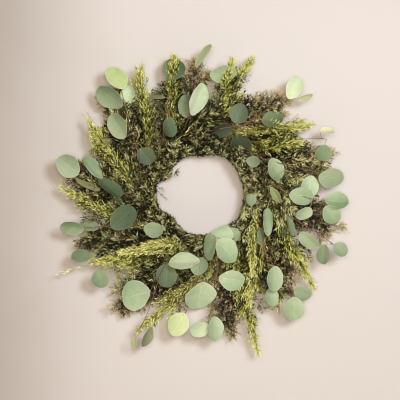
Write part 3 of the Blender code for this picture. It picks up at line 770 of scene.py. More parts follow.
def behind_leaves(points: Numbers, margin: float) -> Numbers:
    """Moves what lies in front of a eucalyptus leaf to just behind it.

    Args:
        points: Places, of shape (..., 3).
        margin: How far behind the leaf they end up.

    Returns:
        The same places, moved where they need it.
    """
    moved = points.copy()
    flat = points.reshape(-1, 3)[:, (0, 2)]
    low, high = flat.min(axis=0) - SHIELD_REACH, flat.max(axis=0) + SHIELD_REACH
    for middle, facing, radius in leaf_shields():
        spot = middle[[0, 2]]
        if np.any(spot + radius < low) or np.any(spot - radius > high):
            continue
        aside = moved - middle
        depth = -(aside[..., 0] * facing[0] + aside[..., 2] * facing[2]) / facing[1]
        away = np.sqrt(aside[..., 0] ** 2 + depth**2 + aside[..., 2] ** 2) / radius
        hold = np.clip((SHIELD_EDGE - away) / SHIELD_FADE, 0, 1)
        cup = LEAF_CUP * radius * np.clip(1 - away**2, 0, 1)
        short = middle[1] + depth + cup + margin - moved[..., 1]
        moved[..., 1] += np.maximum(short, 0) * hold * hold * (3 - 2 * hold)
    return moved


@dataclass(frozen=True)
class Leaflets:
    """Many leaflets: where each grows, which way it points, its size, its bend and its colour numbers."""

    base: Numbers
    ahead: Numbers
    up: Numbers
    length: Numbers
    width: Numbers
    bend: Numbers
    tint: Numbers
    age: Numbers


@dataclass(frozen=True)
class Growth:
    """How side shoots, or leaflets, leave a stem.

    There are count of them between the shares start and end of the stem, each length long and the last taper
    of that. They lean from it by some degrees, curl towards its tip, lie as flat as told, and their lengths
    spread by a share. Leaflets have a width, and shoots a number of steps.
    """

    count: int
    start: float
    end: float
    length: float
    taper: float
    lean: float
    curl: float = 0.3
    flat: float = 0.0
    spread: float = 0.25
    width: float = 0.0
    steps: int = 5

    # How far from its even place a shoot may be, by the step between two
    UNEVEN = 0.4
    # Shoots are short at the stem's foot: their share there, how soon they are whole, and how late they fall
    FOOT_SHARE, FOOT_RISE, FALL_POWER = 0.45, 2.4, 1.6

    def shares(self, rng: Rng, stems: int) -> Numbers:
        """Gives how far along each stem its shoots leave it.

        Args:
            rng: The source of chance.
            stems: How many stems there are.

        Returns:
            Shares of the stem's length, of shape (stems, count).
        """
        even = self.start + (self.end - self.start) * (np.arange(self.count) + 0.5) / self.count
        jitter = rng.uniform(-self.UNEVEN, self.UNEVEN, (stems, self.count))
        jitter = jitter * (self.end - self.start) / self.count
        return np.clip(even[None] + jitter, 0.0, 1.0)

    def lengths(self, rng: Rng, shares: Numbers) -> Numbers:
        """Gives each shoot's length: short at the foot of the stem, then long, then less towards its end.

        Args:
            rng: The source of chance.
            shares: How far along the stem each shoot is.

        Returns:
            Lengths of the same shape.
        """
        run = (shares - self.start) / (self.end - self.start)
        rise = np.clip(self.FOOT_SHARE + self.FOOT_RISE * run, 0, 1)
        fall = self.taper + (1 - self.taper) * (1 - np.clip(run, 0, 1) ** self.FALL_POWER)
        return self.length * rise * fall * rng.uniform(1 - self.spread, 1 + self.spread, shares.shape)


@dataclass(frozen=True)
class Strands:
    """Thin stems of one order: their points, of shape (n, steps, 3), and one tint and age for each."""

    points: Numbers
    tint: Numbers
    age: Numbers

    # How much chance has in a shoot's turn, sway, tint and lean, and in a leaflet's tint, bend and lean
    TURN_SPREAD, SWAY_SPREAD, TINT_SPREAD, LEANS = 0.25, 0.04, 0.10, (0.8, 1.2)
    LEAFLET_TINT, LEAFLET_BEND, LEAFLET_LEANS = 0.26, 0.14, (0.55, 1.45)
    LEFT_INSIDE = 0.5  # how far a few shoots may stay in the hole, by their way into it
    # How much of its age a shoot, or a leaflet, has from its stem. The rest is from its place on it
    SHOOT_AGE, LEAFLET_AGE = 0.35, 0.4
    # Leaflets close up towards their stem's tip: their lean's share at its foot, and what it loses
    CLOSING = (1.15, 0.45)

    def sample(self, shares: Numbers) -> tuple[Numbers, Numbers]:
        """Finds places along the strands.

        Args:
            shares: How far along, of shape (n, count).

        Returns:
            The places and the directions there, each of shape (n, count, 3).
        """
        steps = self.points.shape[1]
        spot = shares * (steps - 1)
        low = np.minimum(spot.astype(int), steps - 2)
        owner = np.arange(len(self.points))[:, None]
        near, far = self.points[owner, low], self.points[owner, low + 1]
        return near + (far - near) * (spot - low)[..., None], unit(far - near)

    def outward(self, growth: Growth, rng: Rng, ahead: Numbers) -> Numbers:
        """Finds the way in which each shoot leaves its stem, turning round it by the golden angle.

        Args:
            growth: How the shoots leave it.
            rng: The source of chance.
            ahead: The stem's direction at each shoot.

        Returns:
            Unit vectors of the same shape.
        """
        stems, count, _ = ahead.shape
        turn = np.arange(count)[None] * GOLDEN_TURN + rng.uniform(0, math.tau, (stems, 1))
        turn = turn + rng.normal(0, self.TURN_SPREAD, (stems, count))
        side, up = crosswise(ahead)
        return unit(side * np.cos(turn)[..., None] + up * np.sin(turn)[..., None] * (1 - growth.flat))

    def shoots(self, growth: Growth, rng: Rng) -> "Strands":
        """Grows side shoots.

        Args:
            growth: How they leave the stems.
            rng: The source of chance.

        Returns:
            The new strands.
        """
        shares = growth.shares(rng, len(self.points))
        base, ahead = self.sample(shares)
        out = self.outward(growth, rng, ahead)
        length = growth.lengths(rng, shares)[..., None, None]
        lean = np.radians(growth.lean * rng.uniform(*self.LEANS, shares.shape))[..., None, None]
        run = np.linspace(0, 1, growth.steps)[None, None, :, None]
        outward = out[:, :, None] * np.sin(lean) * run * (1 - 0.5 * growth.curl * run)
        forward = ahead[:, :, None] * np.cos(lean) * run * (1 + 0.5 * growth.curl * run)
        sway = rng.normal(0, self.SWAY_SPREAD, (*shares.shape, 1, 3)) * run**2
        points = base[:, :, None] + length * (outward + forward + sway)
        drawn_back = 1 - self.LEFT_INSIDE * rng.uniform(0, 1, (*shares.shape, 1)) ** 3
        points = behind_leaves(out_of_hole(points, drawn_back), SHOOT_BEHIND)
        tint = self.tint[:, None] + rng.normal(0, self.TINT_SPREAD, shares.shape)
        age = self.SHOOT_AGE * self.age[:, None] + (1 - self.SHOOT_AGE) * shares
        return Strands(points.reshape(-1, growth.steps, 3), tint.reshape(-1), age.reshape(-1))

    def leaflets(self, growth: Growth, rng: Rng) -> Leaflets:
        """Grows leaflets, which close up towards the tip of each strand.

        Args:
            growth: How they leave the strands.
            rng: The source of chance.

        Returns:
            The leaflets.
        """
        shares = growth.shares(rng, len(self.points))
        base, along = self.sample(shares)
        out = self.outward(growth, rng, along)
        closing = self.CLOSING[0] - self.CLOSING[1] * shares
        lean = growth.lean * closing * rng.uniform(*self.LEAFLET_LEANS, shares.shape)
        lean = np.radians(lean)[..., None]
        ahead = unit(out * np.sin(lean) + along * np.cos(lean))
        up = unit(along * np.sin(lean) - out * np.cos(lean)) * -1
        length = growth.lengths(rng, shares)
        tint = self.tint[:, None] + rng.normal(0, self.LEAFLET_TINT, shares.shape)
        age = self.LEAFLET_AGE * self.age[:, None] + (1 - self.LEAFLET_AGE) * shares
        return Leaflets(
            base.reshape(-1, 3),
            ahead.reshape(-1, 3),
            up.reshape(-1, 3),
            length.reshape(-1),
            (growth.width * length / growth.length).reshape(-1),
            rng.normal(0, self.LEAFLET_BEND, length.size),
            tint.reshape(-1),
            age.reshape(-1),
        )


def pressed_back(strands: Strands) -> Strands:
    """Brings strands nearer to the wall, where the inner leaves are.

    Args:
        strands: The strands.

    Returns:
        The same ones, with what lies before INNER_FRONT drawn back.
    """
    points = strands.points.copy()
    drawn = INNER_FRONT + INNER_SHARE * (points[..., 1] - INNER_FRONT)
    points[..., 1] = np.maximum(points[..., 1], drawn)
    return Strands(points, strands.tint, strands.age)


@cache
def corners(node: str) -> Numbers:
    """Gives the corners of a CAD node's solid, of shape (n, 3)."""
    return np.unique([list(vertex.co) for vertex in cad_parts[node].data.vertices], axis=0)


@dataclass(frozen=True)
class Route:
    """A stem's line: a short run bound along the ring, then one curve clockwise and out to its tip.

    The CAD's stem is a tube along it, with a ring of corners at each step.
    """

    clock: float
    side: float
    tip: tuple[float, float, float]
    middle_depth: float
    radii: tuple[float, float]
    step: float
    lift: float = 0.0

    def bound(self) -> list[Vector]:
        """Gives the three points bound along the ring."""
        height = RING_CREST + GAP + self.radii[0] + self.lift
        return [on_ring(self.clock + share * BOUND_DEGREES, self.side, height) for share in (0, 0.5, 1)]

    def line(self, count: int = FINE_STEPS) -> Numbers:
        """Gives the stem's points.

        Args:
            count: How many steps the curve has after the bound run.

        Returns:
            The points, of shape (count + 3, 3).
        """
        bound = self.bound()
        start, tip = bound[-1], Vector(self.tip)
        along = (bound[-1] - bound[-2]).normalized()
        out = (start - on_ring(self.clock + BOUND_DEGREES, self.side, 0)).normalized()
        first = start + (along + out * ROUTE_OUTWARD) * (tip - start).length * ROUTE_FIRST
        second = start.lerp(tip, ROUTE_SECOND)
        second.y = CENTRE.y - self.middle_depth
        t = np.linspace(0, 1, count + 1)[:, None]
        s = 1 - t
        ends = [np.array(point) for point in (start, first, second, tip)]
        curve = ends[0] * s**3 + ends[1] * 3 * s * s * t + ends[2] * 3 * s * t * t + ends[3] * t**3
        return np.concatenate([np.array([list(point) for point in bound[:-1]]), curve])

    def stepped(self) -> Numbers:
        """Gives the points at which the CAD's tube has its rings of corners."""
        reach = (Vector(self.tip) - self.bound()[-1]).length
        return self.line(max(4, round(reach / self.step)))

    def misfit(self, node: str, count: int | None = None) -> float:
        """Tells how badly a CAD node's corners fit a tube along this route.

        Args:
            node: The CAD node.
            count: How many of the route's first points are tested, or None for all.

        Returns:
            The mean error of the nearest corner's distance from each point.
        """
        line = self.stepped()
        radii = np.linspace(*self.radii, len(line))[:count]
        nearest = np.linalg.norm(line[:count, None] - corners(node)[None], axis=2).min(axis=1)
        return float(np.abs(nearest - radii).mean())

    def seated(self, node: str) -> "Route":
        """Finds the route near this one that the solid of a CAD node follows.

        Args:
            node: The CAD node.

        Returns:
            The route: its bound run is found first, and then its curve.
        """
        clocks = [self.clock + shift for shift in CLOCK_SHIFTS]
        tries = [replace(self, clock=clock, lift=lift) for clock in clocks for lift in LIFTS]
        best = min(tries, key=lambda route: route.misfit(node, len(self.bound())))
        x, y, z = best.tip
        depth = best.middle_depth
        tries = [replace(best, tip=(x, y - more / 2, z), middle_depth=depth + more) for more in DEEPENINGS]
        return min(tries, key=lambda route: route.misfit(node))


def finish_piece(piece: Piece, node: str, slot: Slot) -> None:
    """Lets a piece ride on the wreath in place of its CAD node.

    Args:
        piece: The piece.
        node: The CAD node that it stands for.
        slot: The record's material slot. It is not used.
    """
    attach(piece, "root")
    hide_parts(node)
    LOG.info("%s: %d faces, in place of %s", piece.name, len(piece.data.polygons), node)


@dataclass(frozen=True)
class Seat:
    """Where a leaf sits: its blade's middle, its petiole's joint, and its ways across, along and out."""

    middle: Vector
    joint: Vector
    axes: tuple[Vector, Vector, Vector]
    stem_way: Vector


@dataclass(frozen=True)
class Leaf:
    """A round leaf: its middle in mm from the hole's, and its width and height in mm, seen from the front.

    A leaf that slants has its length and breadth in place of those. Foliage may cover a veiled one.
    """

    x: float
    z: float
    width: float
    height: float
    tone: Tone
    slant: float = 0
    veiled: bool = False

    # Shares of the radius: where the blade's rings are, the petiole's cusp and the tip's notch with their
    # widths in radians, the fold, the cup and the droop
    RINGS = (0.0, 0.14, 0.28, 0.42, 0.56, 0.70, 0.83, 0.93, 0.98, 1.0)
    SPOKES = 32
    CUSP, CUSP_WIDTH = 0.21, 0.46
    NOTCH, NOTCH_WIDTH = (-0.05, 0.03), 0.22
    FOLD, CUP, DROOP = 0.10, 0.09, 0.05
    # The fold is rounded by the first of these, and the second brings its bottom back to the blade's middle
    FOLD_ROUND, FOLD_BOTTOM = 0.004, 0.063
    # The rim's mean share, the tip's point, how flat the sides are, and how much broader the base is
    RIM, POINT, FLAT_SIDES, BROAD_BASE = 0.96, 0.05, 0.03, 0.07
    # The rim's waves, two, three and seven times round, and the frill's, three and eight times round
    WAVES, FRILLS = (0.026, 0.018, 0.009), (0.03, 0.012)
    THICKNESS = 0.0003
    FOOT = 1.06  # where the petiole's end is

    @property
    def radius(self) -> float:
        """The blade's radius, in metres."""
        return max(self.width, self.height) / 2000

    def seat(self, stem: Numbers, node: str) -> Seat:
        """Finds how the leaf sits on its stem, at the depth that it has in the CAD.

        Args:
            stem: The points of the CAD's stem.
            node: The CAD node of the stem and its leaves.

        Returns:
            The seat: a corner of the solid marks the middle of the cupped blade.
        """
        joint, stem_way = self.joint(stem)
        middle = Vector((CENTRE.x + self.x / 1000, joint.y, CENTRE.z + self.z / 1000))
        cup = self.axes(middle, joint)[2] * self.radius * LEAF_CUP
        solid = corners(node)
        off = np.hypot(solid[:, 0] - (middle - cup).x, solid[:, 2] - (middle - cup).z)
        middle.y = float(solid[off < off.min() + SAME_SPOT, 1].min()) + cup.y
        return Seat(middle, joint, self.axes(middle, joint), stem_way)

    def joint(self, stem: Numbers) -> tuple[Vector, Vector]:
        """Finds where on its stem the petiole starts, nearer the root where it can be.

        Args:
            stem: The points of the CAD's stem.

        Returns:
            The place, and the stem's direction there.
        """
        x, z = CENTRE.x + self.x / 1000, CENTRE.z + self.z / 1000
        spots = [
            (step, stem[step] + (stem[step + 1] - stem[step]) * share)
            for step in range(STEM_BARE, len(stem) - 1)
            for share in JOINT_SHARES
        ]
        costs = [
            abs(math.hypot(spot[0] - x, spot[2] - z) - self.radius - PETIOLE_REACH) + JOINT_COST * step
            for step, spot in spots
        ]
        step, spot = spots[int(np.argmin(costs))]
        return Vector(spot), Vector(stem[step + 1] - stem[step]).normalized()

    def axes(self, middle: Vector, joint: Vector) -> tuple[Vector, Vector, Vector]:
        """Finds how the leaf is turned: to the front, and tipped to show its width and height.

        Args:
            middle: The blade's middle.
            joint: Where its petiole leaves the stem.

        Returns:
            Its directions across, along and out of its face.
        """
        tip_angle = math.acos(min(self.width, self.height) / max(self.width, self.height))
        length = math.radians(self.slant + 90 * (self.width < self.height))
        axis = Vector((math.cos(length), 0, math.sin(length)))
        front = Vector((0, -1, 0))
        along = middle - joint
        outward = 1 if front.cross(axis).dot(along) < 0 else -1
        facing = Matrix.Rotation(tip_angle * outward, 3, axis) @ front
        along = (along - facing * along.dot(facing)).normalized()
        return facing.cross(along), along, facing

    def add_to(self, draft: MeshDraft, seat: Seat, rng: Rng, slot: int) -> None:
        """Adds the blade and its petiole.

        Args:
            draft: The mesh that it goes in.
            seat: Where the leaf sits.
            rng: The source of chance.
            slot: The blade's material slot.
        """
        middle, radius = np.array(seat.middle), self.radius
        across, along, facing = (np.array(axis) for axis in seat.axes)
        shares = np.array(self.RINGS)[:, None]
        turn = np.linspace(-math.pi, math.pi, self.SPOKES + 1)[None, :-1]
        wave, ripple, own = rng.uniform(0, math.tau), rng.uniform(0, math.tau), rng.uniform(-0.5, 0.5)
        cusp = self.CUSP * np.exp(-(((math.pi - np.abs(turn)) / self.CUSP_WIDTH) ** 2))
        notch = rng.uniform(*self.NOTCH) * np.exp(-((turn / self.NOTCH_WIDTH) ** 2))
        point = self.POINT * np.maximum(0, np.cos(turn)) ** 5 - self.FLAT_SIDES * np.sin(turn) ** 4 + notch
        uneven = self.WAVES[0] * np.sin(2 * turn + wave) + self.WAVES[1] * np.sin(3 * turn + ripple)
        rim = self.RIM + point + cusp + uneven + self.WAVES[2] * np.sin(7 * turn + ripple)
        u = shares * np.sin(turn) * (1 - self.BROAD_BASE * np.cos(turn))
        v = shares * np.cos(turn)
        fold = self.FOLD * (np.sqrt(u * u + self.FOLD_ROUND) - self.FOLD_BOTTOM)
        cup = -self.CUP * (1 - shares**2)
        frill = self.FRILLS[0] * shares**3 * np.sin(3 * turn + ripple)
        frill = frill + self.FRILLS[1] * shares**4 * np.sin(8 * turn + wave)
        droop = -self.DROOP * np.maximum(0, v) ** 2
        height = (fold + cup + frill + droop)[..., None] * radius
        flat = (u * rim)[..., None] * across + (v * rim)[..., None] * along
        top = middle + flat * radius + facing * height
        thin = self.THICKNESS + self.THICKNESS * (1 - shares**6)
        under = top - facing * thin[..., None]
        rows, spokes = top.shape[:2]
        row = np.arange(rows - 1)[:, None] * spokes
        near, after = np.arange(spokes), (np.arange(spokes) + 1) % spokes
        quads = np.stack([row + near, row + spokes + near, row + spokes + after, row + after], axis=-1)
        quads = quads.reshape(-1, 4)
        last = (rows - 1) * spokes
        count = rows * spokes
        edge = np.stack([last + near, last + near + count, last + after + count, last + after], axis=-1)
        faces = np.concatenate([quads, quads[:, ::-1] + count, edge])
        blade = np.stack([u, v, np.full_like(u, own)], axis=-1)
        draft.add(np.stack([top, under]), faces, slot, blade=np.stack([blade, blade]))
        self.add_petiole(draft, middle - along * radius * self.FOOT, seat)

    @staticmethod
    def add_petiole(draft: MeshDraft, foot: Numbers, seat: Seat) -> None:
        """Adds the leaf's stalk, which leaves the stem along it and bends into the blade's midrib.

        Args:
            draft: The mesh that it goes in.
            foot: The blade's base.
            seat: Where the leaf sits.
        """
        run = np.linspace(0, 1, PETIOLE_STEPS)[:, None]
        joint, along = np.array(seat.joint), np.array(seat.axes[1])
        reach = max(float(np.linalg.norm(foot - joint)), PETIOLE_LEAST)
        off_stem = joint + np.array(seat.stem_way) * reach * PETIOLE_OFF_STEM
        bend, end = foot - along * reach * PETIOLE_OFF_BLADE, foot + along * PETIOLE_OVERLAP
        line = joint * (1 - run) ** 3 + off_stem * 3 * run * (1 - run) ** 2
        line = line + bend * 3 * run**2 * (1 - run) + end * run**3
        radii = PETIOLE_RADIUS - PETIOLE_TAPER * run[:, 0]
        draft.add_tubes(line[None], radii[None], PETIOLE_SIDES, StemSkin.PETIOLE)


@dataclass(frozen=True)
class Stem:
    """A eucalyptus stem with its leaves. A hidden one passes behind the blades that it meets."""

    name: str
    clock: float
    tip_mm: tuple[float, float]
    leaves: tuple[Leaf, ...]
    hidden: bool = False

    SIDE = 2  # where it is bound: degrees round the ring's section
    # How thick it is some way along and at its tip, and how far in front of the ring it runs there
    MIDDLE_SHARE, MIDDLE_RADIUS, TIP_RADIUS = 0.35, 0.0009, 0.0005
    MIDDLE_DEPTH, TIP_DEPTH = 0.062, 0.048
    STEP = 0.026
    SIDES = 10
    # How much thicker the stem is at each petiole, and how far along it
    KNUCKLE, KNUCKLE_REACH = 0.0005, 0.003
    # Its foot lies in the foliage's shade, which is painted into its tint: shares of its length, and the tint
    # there
    SHADED_RUN, SHADED_TINT = (0, 0.3, 0.6), (-0.4, -0.1, 0.5)
    # The bud at its tip, by its last step, and the radius that it ends in
    BUD_SHARE, BUD_RADIUS = 0.6, 0.00005

    def route(self) -> Route:
        """Finds the stem's route, as its CAD solid has it.

        Returns:
            The route.
        """
        tip = (CENTRE.x + self.tip_mm[0] / 1000, CENTRE.y - self.TIP_DEPTH, CENTRE.z + self.tip_mm[1] / 1000)
        radii = (ROOT_RADIUS, self.MIDDLE_RADIUS)
        return Route(self.clock, self.SIDE, tip, self.MIDDLE_DEPTH, radii, self.STEP).seated(self.name)

    def seats(self) -> list[Seat]:
        """Finds where each leaf sits."""
        line = self.route().stepped()
        return [leaf.seat(line, self.name) for leaf in self.leaves]

    def build(self, rng: Rng) -> Piece:
        """Makes the stem and its leaves as one piece.

        Args:
            rng: The source of chance.

        Returns:
            The piece.
        """
        draft = MeshDraft()
        line, seats = self.route().line(), self.seats()
        if self.hidden:
            line = behind_leaves(line, STEM_BEHIND)
        run = np.linspace(0, 1, len(line))
        radii = (ROOT_RADIUS, self.MIDDLE_RADIUS, self.TIP_RADIUS)
        radii = np.interp(run, (0, self.MIDDLE_SHARE, 1), radii)
        for seat in seats:
            away = np.linalg.norm(line - np.array(seat.joint), axis=1)
            radii = radii + self.KNUCKLE * np.exp(-((away / self.KNUCKLE_REACH) ** 2))
        tint = np.interp(run, self.SHADED_RUN, self.SHADED_TINT)
        draft.add_tubes(line[None], radii[None], self.SIDES, StemSkin.BARK, tint[None])
        bud = np.array([line[-1], line[-1] + (line[-1] - line[-2]) * self.BUD_SHARE])
        draft.add_tubes(bud[None], np.array([[self.TIP_RADIUS, self.BUD_RADIUS]]), self.SIDES, StemSkin.BARK)
        tones = sorted({leaf.tone for leaf in self.leaves}, key=lambda tone: tone.name)
        for leaf, seat in zip(self.leaves, seats, strict=True):
            leaf.add_to(draft, seat, rng, StemSkin.BLADE + tones.index(leaf.tone))
        materials = [dressed(RED_STEM), dressed(PETIOLE_SKIN), *(dressed(tone.value) for tone in tones)]
        piece = draft.build(self.name + "_leaves", materials)
        finish_piece(piece, self.name, Slot.EUCALYPTUS)
        return piece


@dataclass(frozen=True)
class Habit:
    """How one kind of spray grows, and what it is dressed in."""

    slot: Slot
    side: float
    radii: tuple[float, float]
    step: float
    bark: Bark
    leaf: SoftLeaflets
    branches: Growth
    shoots: Growth
    twigs: Growth
    needles: Growth


PLUME = Habit(
    Slot.YELLOW_PLUME,
    38,
    (0.0015, 0.0012),
    0.0115,
    GREEN_STEM,
    YELLOW_GREEN,
    Growth(9, 0.06, 0.78, 0.050, 0.5, 22, 0.6, 0.45),
    Growth(26, 0.03, 0.995, 0.038, 0.28, 27, 0.5, 0.15),
    Growth(8, 0.08, 0.98, 0.028, 0.45, 32, 0.5, 0.2, steps=4),
    Growth(11, 0.05, 1.0, 0.0098, 0.65, 50, spread=0.35, width=0.0024),
)
OLIVE = Habit(
    Slot.OLIVE_PLUME,
    38,
    (0.0015, 0.0011),
    0.0115,
    TWIG_BARK,
    OLIVE_GREEN,
    Growth(12, 0.02, 0.80, 0.066, 0.5, 34, 0.4, 0.4),
    Growth(30, 0.03, 0.99, 0.028, 0.4, 44, 0.4, 0.15),
    Growth(10, 0.06, 0.98, 0.022, 0.4, 46, 0.3, 0.2, steps=4),
    Growth(9, 0.06, 1.0, 0.0122, 0.55, 48, spread=0.45, width=0.0021),
)
FILLER = Habit(
    Slot.FILLER,
    88,
    (0.0013, 0.0009),
    0.018,
    TWIG_BARK,
    BROWN_FLUFF,
    Growth(22, 0.10, 0.95, 0.060, 0.55, 46, 0.3, 0.45, steps=6),
    Growth(40, 0.16, 0.99, 0.024, 0.5, 50, 0.2, 0.1),
    Growth(15, 0.10, 1.0, 0.021, 0.5, 52, 0.2, 0.1, spread=0.4, steps=4),
    Growth(12, 0.05, 1.0, 0.0064, 0.7, 56, spread=0.35, width=0.0021),
)
SPRIG = Habit(
    Slot.SPRIG,
    -52,
    (0.0012, 0.0010),
    0.0105,
    TWIG_BARK,
    EDGE_GREEN,
    Growth(18, 0.0, 0.95, 0.046, 0.6, 50, 0.3, 0.1),
    Growth(30, 0.0, 0.99, 0.022, 0.5, 50, 0.3, 0.0),
    Growth(10, 0.06, 0.98, 0.017, 0.5, 48, 0.3, 0.1, steps=4),
    Growth(10, 0.06, 1.0, 0.0098, 0.6, 48, spread=0.45, width=0.0019),
)
RED_PLUME = replace(PLUME, bark=RED_STEM)
INNER_BRANCHES = Growth(13, 0.0, 0.64, 0.068, 0.5, 50, 0.3, 0.5, steps=5)
INNER_TWIGS = Growth(9, 0.08, 1.0, 0.024, 0.6, 52, 0.2, 0.1, steps=3)
INNER_LEAVES = Growth(9, 0.05, 1.0, 0.0096, 0.7, 60, width=0.0040)
# What makes a bright plume look like a rope: short shoots all along its stem
ROPE = Growth(54, 0.14, 1.0, 0.022, 0.36, 36, 0.5, 0.2, steps=4)
ROPE_LEAVES = Growth(10, 0.05, 1.0, 0.0100, 0.7, 44, spread=0.3, width=0.0024)
STRAYS = Growth(6, 0.40, 1.0, 0.036, 0.6, 32, 0.6, 0.5, steps=7)
STRAY_LEAVES = Growth(9, 0.25, 1.0, 0.0066, 0.6, 46, spread=0.4, width=0.0016)
CURL = Growth(8, 0.1, 1.0, 0.0070, 0.7, 45, width=0.0020)
LONG_SHOOT = Growth(15, 0.08, 1.0, 0.0130, 0.8, 22, width=0.0026)
YOUNG_TWIG = Growth(8, 0.40, 1.0, 0.0135, 0.7, 24, width=0.0070)
STAR = Growth(22, 0.93, 1.0, 0.0135, 1.0, 78, width=0.0034)
WISP = Growth(22, 0.2, 1.0, 0.0080, 0.8, 60, width=0.0020)
BARE_WISP = replace(WISP, count=18)
# The leaflets at the end of a stem and of its branches, as long and wide as its others
END_TUFT = Growth(16, 0.75, 1.0, 0.0, 0.8, 35)


@dataclass(frozen=True)
class Twiglet:
    """A fine twig that strays beyond its spray, with its own leaflets, or with shoots if it grows as a rope.

    Its bend and its end are in mm right of the hole's middle, above it, and in front of the ring.
    """

    spray: str
    share: float
    bend_mm: tuple[float, float, float]
    end_mm: tuple[float, float, float]
    leaves: Growth
    lightness: float = 0.2

    STEPS = 12
    AGE = 0.9
    RADIUS, SIDES = 0.0003, 4

    def strand(self, stem: "Strands") -> "Strands":
        """Gives the twig's line.

        Args:
            stem: The spray's stem, from which it grows.

        Returns:
            The line, as one strand.
        """
        start = stem.sample(np.array([[self.share]]))[0][0, 0]
        bend, end = (
            np.array(CENTRE) + np.array([x, -depth, z]) / 1000 for x, z, depth in (self.bend_mm, self.end_mm)
        )
        run = np.linspace(0, 1, self.STEPS)[:, None]
        line = start * (1 - run) ** 2 + bend * 2 * run * (1 - run) + end * run**2
        return Strands(line[None], stem.tint + self.lightness, np.array([self.AGE]))


TWIGLETS = (
    # A long twig with pale young leaflets beyond the lower left plume
    Twiglet("plume_10", 0.98, (-225, -142, 36), (-274, -154, 30), YOUNG_TWIG),
    # The last curls of the plumes
    Twiglet("plume_08", 0.97, (108, -292, 26), (114, -316, 22), CURL),
    Twiglet("plume_17", 0.96, (-112, 246, 30), (-105, 258, 26), CURL),
    Twiglet("plume_20", 0.96, (96, 256, 28), (102, 268, 24), CURL),
    Twiglet("plume_18", 0.97, (-48, 252, 30), (-44, 266, 30), CURL),
    Twiglet("plume_13", 0.96, (-262, 20, 28), (-270, 28, 24), CURL),
    Twiglet("plume_15", 0.97, (-214, 152, 30), (-222, 166, 26), CURL),
    # Brushes that stand before a dark leaf and a mint one at the top
    Twiglet("plume_18", 0.55, (-58, 200, 44), (-50, 260, 44), ROPE, 0.0),
    Twiglet("plume_20", 0.60, (42, 206, 52), (62, 252, 58), ROPE, 0.0),
    # The foot of the two brightest ropes, which lies on top of what grows beside it
    Twiglet("plume_10", 0.04, (-60, -98, 58), (-150, -112, 58), ROPE, 0.06),
    Twiglet("plume_10", 0.03, (-30, -84, 56), (-104, -98, 58), ROPE, 0.0),
    Twiglet("plume_06", 0.04, (92, -60, 56), (102, -150, 58), ROPE, 0.0),
    # Long thin shoots that curve up to the right from the hole's upper left edge
    Twiglet("plume_19", 0.10, (-22, 108, 52), (44, 164, 46), LONG_SHOOT),
    Twiglet("plume_19", 0.06, (-26, 98, 56), (30, 178, 50), LONG_SHOOT),
    Twiglet("plume_19", 0.14, (-12, 92, 52), (16, 150, 54), LONG_SHOOT),
    Twiglet("plume_18", 0.12, (-40, 96, 54), (-6, 140, 56), LONG_SHOOT),
    # The star of leaflets and the wisps that stand in the hole's edge
    Twiglet("sprig_07", 0.42, (-54, 42, 30), (-43, 38, 34), STAR, -0.7),
    Twiglet("sprig_06", 0.80, (-66, -4, 26), (-54, -8, 30), WISP, -0.3),
    Twiglet("sprig_06", 0.88, (-68, 6, 28), (-58, 6, 30), BARE_WISP, -0.3),
)


